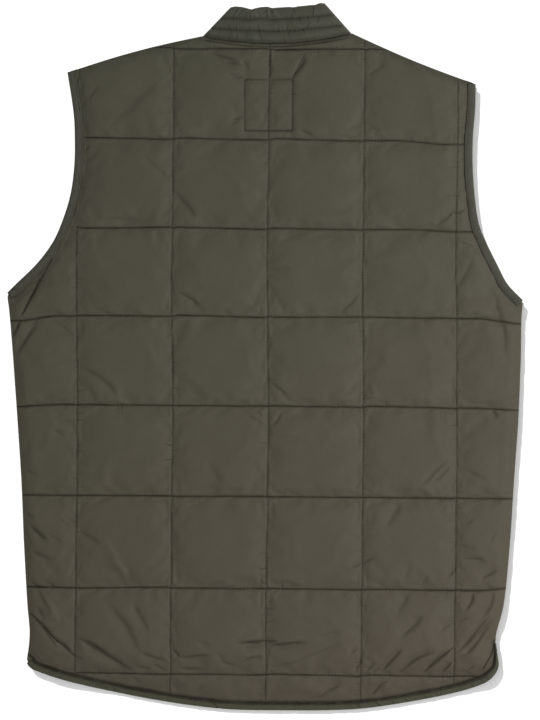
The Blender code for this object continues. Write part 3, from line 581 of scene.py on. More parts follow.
# Finishes: the roughness of the main and of the worn places, and what is the same all over
NYLON_ROUGH = (0.60, 0.50)
TAPE_ROUGH = (0.68, 0.56)
THREAD_ROUGH = (0.65, 0.5)
STUD_ROUGH = (0.42, 0.30)
NYLON_FINISH = {"Sheen Weight": 0.02, "Sheen Roughness": 0.4, "Specular IOR Level": 0.10}
TAPE_FINISH = {"Sheen Weight": 0.03, "Specular IOR Level": 0.12}
THREAD_FINISH = {"Specular IOR Level": 0.06}
STUD_FINISH = {"Metallic": 0.9}
FLOOR_FINISH = {"Roughness": 0.9, "Specular IOR Level": 0.1}

# The hem's binding runs out between these places along, at the right corner
RUN_OUT = (-0.352, -0.316)
RUN_OUT_LEFT = 0.20
RUN_OUT_REACH = 0.0025

# The two sides, and how finely edges, distances and noise are worked out
LEFT, RIGHT = 0, 1
OUTWARDS = (-1.0, 1.0)
WORDS = ("left", "right")
EDGE_STEP = 0.004
CURVE_SAMPLES = 24
CHUNK = 8000
NOISE_SIZE = 257


def number(name, description, default, **kind):
    """A number that a user may change."""
    return FloatProperty(name=name, description=description, default=default, **kind)


def metres(name, description, default):
    """A size in metres that a user may change."""
    return number(name, description, default, unit="LENGTH")


def tint(name, description, default):
    """A colour that a user may change, as shares of red, green and blue."""
    about = {"name": name, "description": description, "default": default}
    return FloatVectorProperty(**about, size=3, min=0.0, max=1.0, subtype="COLOR")


class GiletSizes(bpy.types.PropertyGroup):
    """Sizes of the cloth, its quilting and its stitches."""

    quilt_across: metres("Square width", "Distance between the upright lines of stitching", 0.1037)
    quilt_along: metres("Square height", "Distance between the level lines of stitching", 0.0975)
    quilt_lean: number("Pattern lean", "Clockwise turn of the quilting", math.radians(0.45), subtype="ANGLE")
    quilt_valley: metres("Wadding at a line", "Thickness of the back on a line of stitching", 0.0068)
    quilt_crown: metres("Wadding in a square", "Thickness of the back in the middle of a square", 0.0085)
    quilt_softness: metres("Swell", "Distance from a line over which a square swells", 0.0080)
    level_groove: metres("Level groove", "Extra depth of a level line of stitching", 0.0014)
    upright_groove: metres("Upright groove", "Extra depth of an upright line of stitching", 0.0004)
    groove_width: metres("Groove width", "Half width of the groove that the thread pulls in", 0.0012)
    slack: metres("Slack", "Height of the slow waves of the loose cloth", 0.0007)
    sag: metres("Sag", "Height of the wadding that sags towards the foot of a square", 0.0008)
    slack_length: metres("Slack length", "Usual distance between two slow waves", 0.034)
    spare_cloth: number("Spare cloth", "Share of cloth beyond its wadding", 0.012, subtype="FACTOR")
    binding_reach: metres("Binding width", "Width of a binding as it shows", 0.0090)
    binding_tall: metres("Binding thickness", "Height of a binding round the edge of the cloth", 0.0054)
    binding_cut: metres("Binding cut", "Width of a binding's strip before it is folded", 0.026)
    collar_height: metres("Collar height", "Height of the collar in front", 0.043)
    collar_channel: metres("Collar channel", "Thickness of a channel of the collar", 0.0060)
    stitch_pitch: metres("Stitch pitch", "Distance from one stitch to the next", 0.0032)
    stitch_length: metres("Stitch length", "Length of one stitch", 0.0025)
    thread_width: metres("Thread width", "Width of the sewing thread", 0.00055)


class GiletColours(bpy.types.PropertyGroup):
    """Colours of the cloth, the tape, the thread, the studs and the floor."""

    cloth: tint("Cloth", "Main colour of the quilted nylon", (0.0500, 0.0485, 0.0335))
    cloth_worn: tint("Worn cloth", "Colour of the paler patches in the nylon", (0.0545, 0.0522, 0.0365))
    cloth_tail: tint("Tail", "Browner colour of the nylon towards the hem", (0.0590, 0.0500, 0.0360))
    binding: tint("Binding", "Main colour of the binding tape", (0.0396, 0.0399, 0.0300))
    binding_worn: tint("Worn binding", "Colour of the tape's paler patches", (0.0508, 0.0506, 0.0381))
    binding_tail: tint("Hem's binding", "Yellower colour of the hem's tape", (0.0450, 0.0450, 0.0288))
    collar: tint("Collar", "Colour of the collar's nylon", (0.0424, 0.0432, 0.0312))
    collar_end: tint("Collar end", "Paler colour of the collar's right end", (0.0515, 0.0500, 0.0372))
    # seam is the dark colour of all the painted shade: lines, creases, shoulders, puckers and tapes
    seam: tint("Seam", "Dark colour of the cloth in a line of stitching", (0.0100, 0.0080, 0.0042))
    thread: tint("Thread", "Colour of the sewing thread", (0.0180, 0.0170, 0.0120))
    stud: tint("Studs", "Colour of the stud caps", (0.190, 0.175, 0.140))
    floor: tint("Floor", "Colour of the floor", (0.93, 0.93, 0.93))


class GiletStage(bpy.types.PropertyGroup):
    """The camera and the lights."""

    lens: number("Lens", "Focal length of the camera", 110.0, subtype="DISTANCE_CAMERA")
    view_long: metres("View", "Length of the long side of the picture on the gilet", 0.7826)
    key_power: number("Key light", "Power of the soft light from the upper right", 14.8, unit="POWER")
    top_power: number("Top light", "Power of the wide light above, to the lower right", 19.0, unit="POWER")
    sky_strength: number("Sky", "Strength of the even light from all round", 0.60, min=0.0)
    floor_light: number("Floor light", "Strength of the upper left light on the floor alone", 3.3, min=0.0)
    floor_fill: number("Floor fill", "Strength of the overhead light on the floor alone", 0.5, min=0.0)


def ease(share):
    """A smooth step from 0 to 1 as the share goes from 0 to 1: 3 s squared less 2 s cubed."""
    share = np.clip(share, 0.0, 1.0)
    return share * share * (3.0 - 2.0 * share)


def quarter_round(share):
    """The height of a quarter circle, 0 at its edge and 1 from its full radius on."""
    return np.sqrt(1.0 - (1.0 - np.clip(share, 0.0, 1.0)) ** 2)


def bell(distance, width):
    """A bell curve of a distance: 1 on the line, and 1 / e at one width from it."""
    return np.exp(-((distance / width) ** 2))


def soft_max(first, second):
    """The larger of two places, with the step from one to the other rounded off."""
    return 0.5 * (first + second + np.sqrt((first - second) ** 2 + LINE_SOFTNESS ** 2))


def soft_noise(across, along, seed):
    """Smooth noise from -1 to 1: random values on a unit lattice, eased from one to the next."""
    table = np.random.default_rng(seed).uniform(-1.0, 1.0, (NOISE_SIZE, NOISE_SIZE))
    column = np.floor(across).astype(int)
    row = np.floor(along).astype(int)
    right = ease(across - column)
    up = ease(along - row)
    near, far = column % NOISE_SIZE, (column + 1) % NOISE_SIZE
    low, high = row % NOISE_SIZE, (row + 1) % NOISE_SIZE
    below = table[near, low] * (1.0 - right) + table[far, low] * right
    above = table[near, high] * (1.0 - right) + table[far, high] * right
    return below * (1.0 - up) + above * up


def smooth_path(spots):
    """Even points along a Catmull-Rom curve through the spots.

    Each span is a cubic whose ends run parallel to the line between the neighbouring spots.
    """
    spots = np.array(spots, dtype=float)
    knots = np.vstack([2 * spots[0] - spots[1], spots, 2 * spots[-1] - spots[-2]])
    share = np.linspace(0.0, 1.0, CURVE_SAMPLES, endpoint=False)[:, None]
    spans = []
    for before, start, end, after in zip(knots, knots[1:], knots[2:], knots[3:]):
        pull = (end - before) / 2
        push = (after - start) / 2
        bend = 3 * (end - start) - 2 * pull - push
        close = 2 * (start - end) + pull + push
        spans.append(start + share * (pull + share * (bend + share * close)))
    return evenly(np.vstack(spans + [spots[-1:]]), EDGE_STEP)


def run_length(path):
    """How far along a path each of its points lies."""
    return np.concatenate([[0.0], np.cumsum(np.linalg.norm(np.diff(path, axis=0), axis=1))])


def along_path(path, marks):
    """The places at some marks along a path."""
    return np.column_stack([np.interp(marks, run_length(path), axis) for axis in path.T])


def evenly(path, step):
    """The same path with points at even steps along it."""
    total = run_length(path)[-1]
    return along_path(path, np.linspace(0.0, total, max(2, round(total / step)) + 1))


def inward(path):
    """Unit normals to the left of a path, which is the cloth's side of an edge."""
    along = np.gradient(path, axis=0)
    along = along / np.linalg.norm(along, axis=1, keepdims=True)
    return np.column_stack([-along[:, 1], along[:, 0]])


def distance_to(points, paths):
    """Distance from each point to the nearest of some open paths, worked out in blocks."""
    nearest = np.full(len(points), np.inf)
    for path in paths:
        start, step = path[:-1], np.diff(path, axis=0)
        for first in range(0, len(points), CHUNK):
            block = slice(first, first + CHUNK)
            offset = points[block, None, :] - start
            share = np.clip((offset * step).sum(axis=2) / (step * step).sum(axis=1), 0.0, 1.0)
            gap = ((offset - share[:, :, None] * step) ** 2).sum(axis=2).min(axis=1)
            nearest[block] = np.minimum(nearest[block], np.sqrt(gap))
    return nearest


def hem_along(across):
    """The back hem's place along Y at each place across."""
    lower = [spot for spot in BACK_HEM if spot.along <= BACK_HEM[-3].along]
    return np.interp(across, [spot.across for spot in lower], [spot.along for spot in lower])


def front_centre(along):
    """The centre front's place across, which leans like the quilting."""
    return FRONT_CENTRE + FRONT_LEAN * along


def back_inside(points):
    """The level of the back's plain inside, lower at the tail and over the neck's hole."""
    across, along = points[..., 0], points[..., 1]
    hem = hem_along(across)
    tail = np.maximum(FRONT_HEM - hem, TAIL_FLAT + SEAM_GAP)
    drop = BACK_INSIDE * ease((tail - TAIL_SHORT) / (TAIL_LONG - TAIL_SHORT))
    drop = drop * (1.0 - ease((along - hem - TAIL_FLAT) / (tail - TAIL_FLAT)))
    hole = ((across - NECK_HOLE_CENTRE[0]) / NECK_HOLE_HALF[0]) ** 2
    hole = hole + ((along - NECK_HOLE_CENTRE[1]) / NECK_HOLE_HALF[1]) ** 2
    return BACK_INSIDE - drop - NECK_SAG * np.maximum(1.0 - hole, 0.0) ** 2


def on_floor(points):
    """The level of what lies straight on the floor."""
    return np.zeros(points.shape[:-1])


def tape_reach(points, sizes):
    """How far the binding nearest to each point of the back reaches in from the edge."""
    across, along = points[..., 0], points[..., 1]
    gone = ease((along - RUN_OUT[0]) / (RUN_OUT[1] - RUN_OUT[0]))
    gone = np.where((across > RUN_OUT_LEFT) & (along < 0.0), gone, 0.0)
    return sizes.binding_reach + gone * (RUN_OUT_REACH - sizes.binding_reach)


def side_path(side, foot):
    """A side seam from its foot up to the armpit."""
    return smooth_path([foot] + [(row[1 + side], row.along) for row in SIDES] + [ARMPITS[side]])


def armhole_path(side):
    """An armhole's edge from the armpit up to the shoulder tip."""
    middle = [(row[1 + side], row.along) for row in ARMHOLES]
    return smooth_path([ARMPITS[side]] + middle + [SHOULDER_TIPS[side]])


def shoulder_path(side):
    """A shoulder from its tip to the neck: a straight line with a slight arch or hollow."""
    share = np.linspace(0.0, 1.0, CURVE_SAMPLES)[:, None]
    tip = np.array(SHOULDER_TIPS[side])
    line = tip + share * (np.array(NECK_POINTS[side]) - tip)
    line[:, 1] += SHOULDER_ARCHES[side] * np.sin(math.pi * share[:, 0])
    return evenly(line, EDGE_STEP)


def back_neck(share):
    """The back neck seam at each share from left to right: a shallow dip below a straight line."""
    left, right = (np.array(spot) for spot in NECK_POINTS)
    line = left + share[:, None] * (right - left)
    line[:, 1] -= NECK_DEPTH * np.sin(math.pi * share) ** NECK_SHAPE
    return line


def collar_top(share):
    """The collar's upper edge at the back at each share from left to right, lifted at its right."""
    left, right = (np.array(spot) for spot in COLLAR_TIPS)
    line = left + share[:, None] * (right - left)
    line[:, 1] = left[1] + COLLAR_TOP_LIFT * share ** COLLAR_TOP_SHAPE
    return line


def front_curve(side, start, level):
    """A neckline from the shoulder to the centre front: a quarter ellipse and a straight lap."""
    centre = front_centre(FRONT_NECK)
    turn = np.linspace(0.0, math.pi / 2, 2 * CURVE_SAMPLES)
    end = centre + OUTWARDS[side] * LAP_STEP[1]
    across = start[0] + (end - start[0]) * (1.0 - np.cos(turn))
    along = start[1] + (level - start[1]) * np.sin(turn)
    lap = centre + OUTWARDS[side] * np.array([LAP_STEP[0], 0.0, -LAP])
    curve = np.column_stack([across, along])
    return np.vstack([curve, np.column_stack([lap, np.full(len(lap), level)])])


def front_hem(side):
    """A front's bound hem from its side to the lap, level but for a rise towards the side."""
    corner = FRONT_CORNERS[side]
    split = front_centre(FRONT_HEM) + OUTWARDS[side] * LAP_BOUND
    across = np.linspace(corner.across, split, CURVE_SAMPLES)
    share = (across - split) / (corner.across - split)
    rise = (corner.along - FRONT_HEM) * share ** FRONT_HEM_SHAPE
    return evenly(np.column_stack([across, FRONT_HEM + rise]), EDGE_STEP)


class Outline:
    """A panel's four edges: left and right from the hem up, bottom and top from left to right."""

    def __init__(self, left, right, bottom, top):
        self.left, self.right, self.bottom, self.top = left, right, bottom, top

    def sides_at(self, along):
        """Where the left and the right edge lie at each place along."""
        return [np.interp(along, edge[:, 1], edge[:, 0]) for edge in (self.left, self.right)]

    def ends_at(self, across):
        """Where the bottom and the top edge lie at each place across."""
        return [np.interp(across, edge[:, 0], edge[:, 1]) for edge in (self.bottom, self.top)]

    def holds(self, points, margin):
        """Which points lie inside by more than a margin."""
        across, along = points[:, 0], points[:, 1]
        left, right = self.sides_at(along)
        bottom, top = self.ends_at(across)
        inside = (across > left + margin) & (across < right - margin)
        return inside & (along > bottom + margin) & (along < top - margin)


def held(path, turn=1.0):
    """A bound edge of the cloth, a little inside its binding, which lies left of it or is turned."""
    return path + turn * BINDING_SEAT * inward(path)


def back_outline():
    """The back's own edge: bound hem and armholes moved in, seams where they are."""
    hem = held(smooth_path(BACK_HEM))
    corner = int(np.argmax(hem[:, 0]))
    left_hole, right_hole = (held(armhole_path(side), OUTWARDS[side]) for side in (LEFT, RIGHT))
    left = np.vstack([hem[:1], side_path(LEFT, BACK_HEM[0])[1:-1], left_hole])
    right = np.vstack([hem[corner:], side_path(RIGHT, BACK_HEM[-1])[1:-1], right_hole])
    neck = back_neck(np.linspace(0.0, 1.0, 2 * CURVE_SAMPLES))
    top = np.vstack([left_hole[-1:], shoulder_path(LEFT)[1:-1], neck, shoulder_path(RIGHT)[-2:0:-1]])
    return Outline(left, right, hem[: corner + 1], np.vstack([top, right_hole[-1:]]))


def front_outline(side):
    """A front's own edge, from its side to its centre front."""
    outwards = OUTWARDS[side]
    neck = back_neck(np.array([0.0, 1.0]))[side]
    hole = held(armhole_path(side), outwards)
    hem = held(front_hem(side), -outwards)
    outer = np.vstack([hem[:1], side_path(side, FRONT_CORNERS[side])[1:-1], hole])
    curve = front_curve(side, neck, FRONT_NECK)
    top = np.vstack([hole[-1:], shoulder_path(side)[1:-1], curve])
    ends = np.array([[front_centre(FRONT_HEM) - outwards * LAP, FRONT_HEM], curve[-1]])
    bottom = np.vstack([hem, ends[:1]])
    if side == LEFT:
        return Outline(outer, ends, bottom, top)
    return Outline(ends, outer, bottom[::-1], top[::-1])


def stations(counts, gather):
    """Which stretch each grid line lies in and its share of it, closer together at both ends."""
    stretch = [np.full(count, index) for index, count in enumerate(counts)]
    shares = []
    for count in counts:
        even = np.linspace(0.0, 1.0, count, endpoint=False)
        shares.append(even - gather * np.sin(2 * math.pi * even) / (2 * math.pi))
    return np.concatenate(stretch + [[len(counts) - 1]]), np.concatenate(shares + [[1.0]])


def stray(measure, pitch, line, seed, reach):
    """How far a line of stitching strays from straight.

    In each square it slopes one way or the other and comes back where it crosses a line, and small
    waves are added. measure is the place along the line and line its number.
    """
    slopes = np.random.default_rng(seed).uniform(-1.0, 1.0, (STRAY_SPAN, STRAY_SPAN))
    square = np.floor(measure / pitch).astype(int)
    share = measure / pitch - square
    slope = slopes[line % STRAY_SPAN, square % STRAY_SPAN]
    tilt = (share - 0.5) * ease(np.minimum(share, 1.0 - share) / STRAY_TURN)
    row = line * CREASE_APART + np.zeros(np.shape(measure))
    wave = soft_noise(measure / STRAY_WAVE_LENGTH, row, seed + 1)
    return 2.0 * reach * slope * tilt + STRAY_WAVE * wave


def picked(table, line, first):
    """The values of a table for lines that are numbered from a first one."""
    return np.array(table)[np.clip(line - first, 0, len(table) - 1)]


def stray_upright(along, line, sizes):
    """How far an upright line strays across, in each row of squares and as a whole."""
    rows = np.arange(len(ROW_SHIFTS)) + LEVEL_LINES[0] - 0.5
    shift = np.interp(along / sizes.quilt_along, rows, ROW_SHIFTS)
    shift = shift + picked(UPRIGHT_SHIFTS, line, UPRIGHT_LINES[0])
    return shift + stray(along, sizes.quilt_along, line, SEED_UPRIGHT, STRAY_UPRIGHT)


def stray_level(across, line, sizes):
    """How far a level line strays along, with ends that droop towards the sides."""
    first = LEVEL_LINES[0]
    droop = np.where(across < 0.0, picked(LEFT_DROOPS, line, first), picked(RIGHT_DROOPS, line, first))
    droop = droop * ease((np.abs(across) - picked(DROOPS_FROM, line, first)) / DROOP_OVER)
    shift = picked(LEVEL_SHIFTS, line, first) - droop
    return shift + stray(across, sizes.quilt_across, line, SEED_LEVEL, STRAY_LEVEL)


def armhole_corner(sizes):
    """Where the outermost upright line and a level line end at the left armhole, in the pattern."""
    across = np.array([UPRIGHT_LINES[0] * sizes.quilt_across])
    along = np.array([ENDING_LEVEL * sizes.quilt_along])
    across = across + stray_upright(along, UPRIGHT_LINES[0], sizes)
    return across[0], (along + stray_level(across, ENDING_LEVEL, sizes))[0]


def fenced(places, low, high):
    """Lines between two edges, each kept a margin from both, with the edges before and after them."""
    kept = [soft_max(place, low + LINE_MARGIN) for place in places]
    kept = [-soft_max(-place, -(high - LINE_MARGIN)) for place in kept]
    return np.array([low, *kept, high])


def quilt_grid(outline, sizes, uprights, levels, counts_across, counts_along, gather):
    """A grid over a panel whose lines run along its edges and along the lines of stitching.

    A point's place across is a share of the stretch between two upright lines or edges at its
    place along, and the other way round, so a few rounds of both settle it.
    """
    turn, rise = math.cos(sizes.quilt_lean), math.sin(sizes.quilt_lean)
    column_stretch, column_share = stations(counts_across, gather)
    row_stretch, row_share = stations(counts_along, gather)
    columns, rows = np.arange(len(column_share)), np.arange(len(row_share))
    middle = (outline.bottom[:, 1].min() + outline.top[:, 1].max()) / 2
    along = np.full((len(rows), len(columns)), middle)
    for _ in range(GRID_ROUNDS):
        offset = along - QUILT_CENTRE[1]
        places = []
        for line in uprights:
            reach = line * sizes.quilt_across + stray_upright(offset, line, sizes)
            places.append(QUILT_CENTRE[0] + (reach + offset * rise) / turn)
        lines = fenced(places, *outline.sides_at(along))
        start, end = (lines[column_stretch + step, :, columns].T for step in (0, 1))
        across = start + column_share * (end - start)
        offset = across - QUILT_CENTRE[0]
        places = []
        for line in levels:
            reach = line * sizes.quilt_along + stray_level(offset, line, sizes)
            places.append(QUILT_CENTRE[1] + (reach - offset * rise) / turn)
        lines = fenced(places, *outline.ends_at(across))
        start, end = (lines[row_stretch + step, rows, :] for step in (0, 1))
        along = start + row_share[:, None] * (end - start)
    return across, along


def from_lines(points, sizes):
    """Signed distances from each point to its nearest upright and its nearest level line.

    Past the end of a line the distance is to its end.
    """
    offset = points - np.array(QUILT_CENTRE)
    turn, rise = math.cos(sizes.quilt_lean), math.sin(sizes.quilt_lean)
    across = offset[:, 0] * turn - offset[:, 1] * rise
    along = offset[:, 0] * rise + offset[:, 1] * turn
    column = np.round(across / sizes.quilt_across).astype(int)
    row = np.round(along / sizes.quilt_along).astype(int)
    upright = across - sizes.quilt_across * column - stray_upright(along, column, sizes)
    level = along - sizes.quilt_along * row - stray_level(across, row, sizes)
    end_across, end_along = armhole_corner(sizes)
    past = np.where(column == UPRIGHT_LINES[0], np.maximum(along - end_along, 0.0), 0.0)
    upright = np.copysign(np.hypot(upright, past), upright)
    past = np.where(row == ENDING_LEVEL, np.maximum(end_across - across, 0.0), 0.0)
    return upright, np.copysign(np.hypot(level, past), level)


def box_corners():
    """The corners of the stitched box, back to the first one."""
    (left, right), (low, high) = BOX_SIDES, BOX_ENDS
    return [(left, low), (right, low), (right, high), (left, high), (left, low)]


def from_box(points):
    """Distance from each point to the nearest side of the stitched box."""
    return distance_to(points, [np.array(box_corners())])


Crease = namedtuple("Crease", "start end width depth bow bank", defaults=(USUAL_BOW, USUAL_BANK))


def on_cloth(spot):
    """Where a pixel of the photo lies on the cloth, in metres."""
    return (spot[0] - ORIGIN_PIXEL[0]) * PIXEL, (ORIGIN_PIXEL[1] - spot[1]) * PIXEL


def all_creases():
    """The creases as read from the photo, in metres."""
    found = []
    for row in READ_CREASES:
        read = Crease(*row)
        sizes = (read.width * MILLIMETRE, read.depth * MILLIMETRE, read.bow * PIXEL)
        found.append(Crease(on_cloth(read.start), on_cloth(read.end), *sizes, read.bank))
    return found


CREASES = all_creases()


def beside_creases(points, creases, wobble=CREASE_WOBBLE):
    """For each crease the points in reach, and how they lie along and beside that bowed, wavy line.

    Yields the crease's number, the crease, the numbers of the points, their shares along it, their
    distances to its left and the measure that its noise follows.
    """
    for index, crease in enumerate(creases):
        start, run = np.array(crease.start), np.subtract(crease.end, crease.start)
        margin = CREASE_REACH * crease.width + abs(crease.bow)
        low = np.minimum(crease.start, crease.end) - margin
        high = np.maximum(crease.start, crease.end) + margin
        near = np.flatnonzero(((points > low) & (points < high)).all(axis=1))
        size = np.linalg.norm(run)
        offset = points[near] - start
        share = offset @ run / size ** 2
        inside = np.clip(share, 0.0, 1.0)
        beside = offset @ np.array([-run[1], run[0]]) / size - 4 * crease.bow * inside * (1.0 - inside)
        measure = share * size / CREASE_WOBBLE_LENGTH + CREASE_APART * index
        beside = beside + wobble * soft_noise(measure, np.zeros(len(near)), SEED_CREASE)
        yield index, crease, near, share, beside, measure


def ends_faded(share, over):
    """1 along the middle of a line, eased to 0 over a share of it at both ends."""
    return ease(np.minimum(share, 1.0 - share) / over)


def crease_relief(points):
    """Soft troughs along bowed lines that fade at their ends, each with a bank on one side.

    On the gentle side the height is minus a wide bell curve. On the other a narrow bell climbs
    steeply to the bank, which falls away slowly. A crease is narrower towards its ends.
    """
    relief = np.zeros(len(points))
    for _, crease, near, share, beside, measure in beside_creases(points, CREASES):
        fade = ends_faded(share, CREASE_FADE)
        beside = beside / crease.width / (CREASE_NARROW + (1.0 - CREASE_NARROW) * fade)
        fade = fade * (1.0 + CREASE_UNEVEN * soft_noise(measure, np.ones(len(near)), SEED_CREASE_DEPTH))
        gentle = -bell(beside, CREASE_GENTLE)
        climb = bell(beside, CREASE_STEEP)
        bank = crease.bank * (1.0 - climb) * np.exp(-np.maximum(beside, 0.0) / CREASE_BANK)
        relief[near] += crease.depth * fade * np.where(beside < 0.0, gentle, bank - climb)
    return relief


def crease_shade(points):
    """The painted shade along a crease's foot: a bell curve, wider towards its bank.

    It is stronger in a steep crease, whose depth is large beside its width.
    """
    shade = np.zeros(len(points))
    gentle, steep = CREASE_STEEPNESS
    for _, crease, near, share, beside, _ in beside_creases(points, CREASES):
        beside = beside / crease.width
        strength = (crease.depth / crease.width - gentle) / (steep - gentle)
        strength = CREASE_SHADE * min(max(strength, 0.0), 1.0)
        foot = bell(beside, np.where(beside > 0.0, *CREASE_SHADE_WIDTHS))
        shade[near] = np.maximum(shade[near], strength * ends_faded(share, CREASE_FADE) * foot)
    return shade


def sharp_layers(points):
    """Distances beside the sharp lines in widths, and how dark their painted shade is, three of each a point.

    The lines are dealt out in turn to the three columns, so that neighbours don't share one. A distance
    has a sign, so that it also holds between points, and a line's darkness ends well before the next
    line of its column.
    """
    away = np.full((len(points), SHARP_SETS), FAR)
    dark = np.zeros((len(points), SHARP_SETS))
    lines = []
    for start, end, width, strength in SHARP_LINES:
        lines.append(Crease(on_cloth(start), on_cloth(end), width * MILLIMETRE, strength))
    for index, line, near, share, beside, _ in beside_creases(points, lines, SHARP_WOBBLE):
        fade = line.depth * ends_faded(share, SHARP_FADE) * ease(2.0 - np.abs(beside) / SHARP_NEAR)
        column = index % SHARP_SETS
        stronger = fade > dark[near, column]
        dark[near[stronger], column] = fade[stronger]
        away[near[stronger], column] = beside[stronger] / line.width
    return away, dark


def drawn_in(points, free):
    """Points moved sideways towards the creases and the box, so that more lie where they bend.

    Near a line a point keeps only part of its distance from it, by a bell curve. free is 1 for
    points that may move and falls to 0 on the lines of stitching and the edges.
    """
    points = points.copy()
    corners = box_corners()
    sides = [Crease(start, end, BOX_WIDTH, 0.0) for start, end in zip(corners, corners[1:])]
    for _, crease, near, share, beside, _ in beside_creases(points, [*CREASES, *sides]):
        run = np.subtract(crease.end, crease.start)
        side = np.array([-run[1], run[0]]) / np.linalg.norm(run)
        pull = bell(beside, DRAW_REACH * crease.width)
        pull = pull * ease(np.minimum(share, 1.0 - share) / DRAW_FADE + 1.0)
        points[near] -= (DRAW_SHARE * beside * pull * free[near])[:, None] * side
    return points


class BackSurface:
    """The outside of the back as a height over its plan, with its edges and its lines."""

    def __init__(self, sizes):
        self.sizes = sizes
        self.bound = [
            smooth_path(BACK_HEM),
            armhole_path(RIGHT),
            armhole_path(LEFT)[::-1],
        ]
        self.seams = [
            side_path(RIGHT, BACK_HEM[-1]),
            side_path(LEFT, BACK_HEM[0]),
            shoulder_path(RIGHT),
            shoulder_path(LEFT),
        ]
        self.neck = [back_neck(np.linspace(0.0, 1.0, 2 * CURVE_SAMPLES))]

    def past_binding(self, points):
        """Distance from each point to the inner edge of the nearest binding, negative under it."""
        return distance_to(points, self.bound) - tape_reach(points, self.sizes)

    def pressed(self, points):
        """1 under a binding, falling to 0 just past it."""
        return 1.0 - ease((self.past_binding(points) - 2 * SEAM_GAP) / PRESSED_FADE)

    def rolled(self, points):
        """How dark the painted shade is where the cloth rolls over the shoulders."""
        shade = np.zeros(len(points))
        for path, width in zip(self.seams[2:], SHOULDER_WIDTHS):
            near = 1.0 - ease(distance_to(points, [path]) / width)
            shade = np.maximum(shade, SHOULDER_SHADE * near)
        return shade

    def sewn(self, points):
        """Which points lie on a line of stitching, on the box or under a binding."""
        upright, level = from_lines(points, self.sizes)
        on_line = np.minimum(np.abs(upright), np.abs(level)) < SEWN_WIDTH
        on_box = from_box(points) < 3 * SEWN_WIDTH
        return on_line | on_box | (self.past_binding(points) < 0.0)

    def free(self, points):
        """1 in the middle of a square, falling to 0 on its lines of stitching and at the edges."""
        upright, level = from_lines(points, self.sizes)
        from_line = np.minimum(np.abs(upright), np.abs(level))
        from_edge = distance_to(points, self.bound + self.seams + self.neck)
        return (1.0 - bell(from_line, FREE_LINE)) * ease(from_edge / FREE_EDGE)

    def under(self, points):
        """The plain inside, lifted where a binding passes under it."""
        return back_inside(points) + BINDING_LIFT * self.pressed(points)

    def shade(self, points):
        """Distances to the nearest level line, upright line or box side, and binding, as columns."""
        # These distances set the painted shade of the lines and beside the bindings
        upright, level = from_lines(points, self.sizes)
        from_binding = np.abs(self.past_binding(points))
        hem = distance_to(points, self.bound[:1]) > 2 * self.sizes.binding_reach
        from_neck = np.abs(distance_to(points, self.neck) - NECK_STITCH)
        side = BOX_NARROW * np.minimum(from_box(points), from_neck)
        side = np.minimum(np.abs(upright) + UPRIGHT_PALE, side)
        return np.column_stack([np.abs(level), side, from_binding + HEM_ONLY * hem])

    def over(self, points):
        """The outside: squares that swell from grooved lines, creases, puckers and rolled edges."""
        sizes = self.sizes
        from_seam = distance_to(points, self.seams)
        from_neck = distance_to(points, self.neck)
        upright, level = from_lines(points, sizes)
        along = points[:, 1]
        uneven = soft_noise(*(points / SWELL_LENGTH).T, SEED_SWELL)
        softness = sizes.quilt_softness * (1.0 + SWELL_UNEVEN * uneven)
        puff = 1.0 - np.exp(-np.abs(upright) / softness)
        puff = puff * (1.0 - np.exp(-np.abs(level) / softness))
        crown = sizes.quilt_valley + (sizes.quilt_crown - sizes.quilt_valley) * puff
        crown = crown - sizes.upright_groove * bell(upright, sizes.groove_width)
        crown = crown - sizes.level_groove * bell(level, sizes.groove_width)
        box = from_box(points)
        crown = crown - BOX_GROOVE * bell(box, BOX_GROOVE_WIDTH)
        crown = crown - BOX_DIP * np.exp(-box / BOX_DIP_WIDTH)
        slow = soft_noise(*(points / sizes.slack_length).T, SEED_SLOW)
        quick = soft_noise(*(points / QUICK_LENGTHS).T, SEED_QUICK)
        folds = (1.0 - np.abs(soft_noise(*(points / FOLD_LENGTHS).T, SEED_FOLD))) ** FOLD_SHARP
        crown = crown + sizes.slack * (slow + QUICK_SHARE * quick + folds) * puff + crease_relief(points)
        sag = bell(level - SAG_PLACE, SAG_WIDTH)
        sag = sag * np.clip(soft_noise(*(points / SAG_LENGTHS).T, SEED_SAG) + SAG_USUAL, 0.0, 1.0)
        crown = crown + sizes.sag * sag
        edge = SEAM_EDGE + (BINDING_LIFT + PRESSED_EDGE - SEAM_EDGE) * self.pressed(points)
        crown = np.maximum(crown, edge)
        past = np.maximum(self.past_binding(points) - 2 * SEAM_GAP, 0.0)
        swell = 1.0 - np.exp(-past / np.where(along > 0.0, ARMHOLE_SOFTNESS, sizes.quilt_softness))
        swell = swell * quarter_round(from_seam / EDGE_ROUND)
        swell = swell * quarter_round(from_neck / NECK_ROUND)
        return back_inside(points) + edge + (crown - edge) * swell


def add_mesh(name, vertices, faces, surface):
    """A smooth mesh object from vertices and groups of faces with the same number of corners."""
    mesh = bpy.data.meshes.new(name)
    corners = np.concatenate([group.ravel() for group in faces]).astype(np.int32)
    sizes = np.concatenate([np.full(len(group), group.shape[1]) for group in faces])
    starts = np.concatenate([[0], np.cumsum(sizes)[:-1]]).astype(np.int32)
    mesh.vertices.add(len(vertices))
    mesh.vertices.foreach_set("co", np.asarray(vertices, dtype=np.float32).ravel())
    mesh.loops.add(len(corners))
    mesh.loops.foreach_set("vertex_index", corners)
    mesh.polygons.add(len(sizes))
    mesh.polygons.foreach_set("loop_start", starts)
    mesh.update(calc_edges=True)
    if mesh.validate():
        raise RuntimeError(f"{name} has faces that don't hold together")
    mesh.shade_smooth()
    if surface:
        mesh.materials.append(surface)
    piece = bpy.data.objects.new(name, mesh)
    bpy.context.scene.collection.objects.link(piece)
    return piece


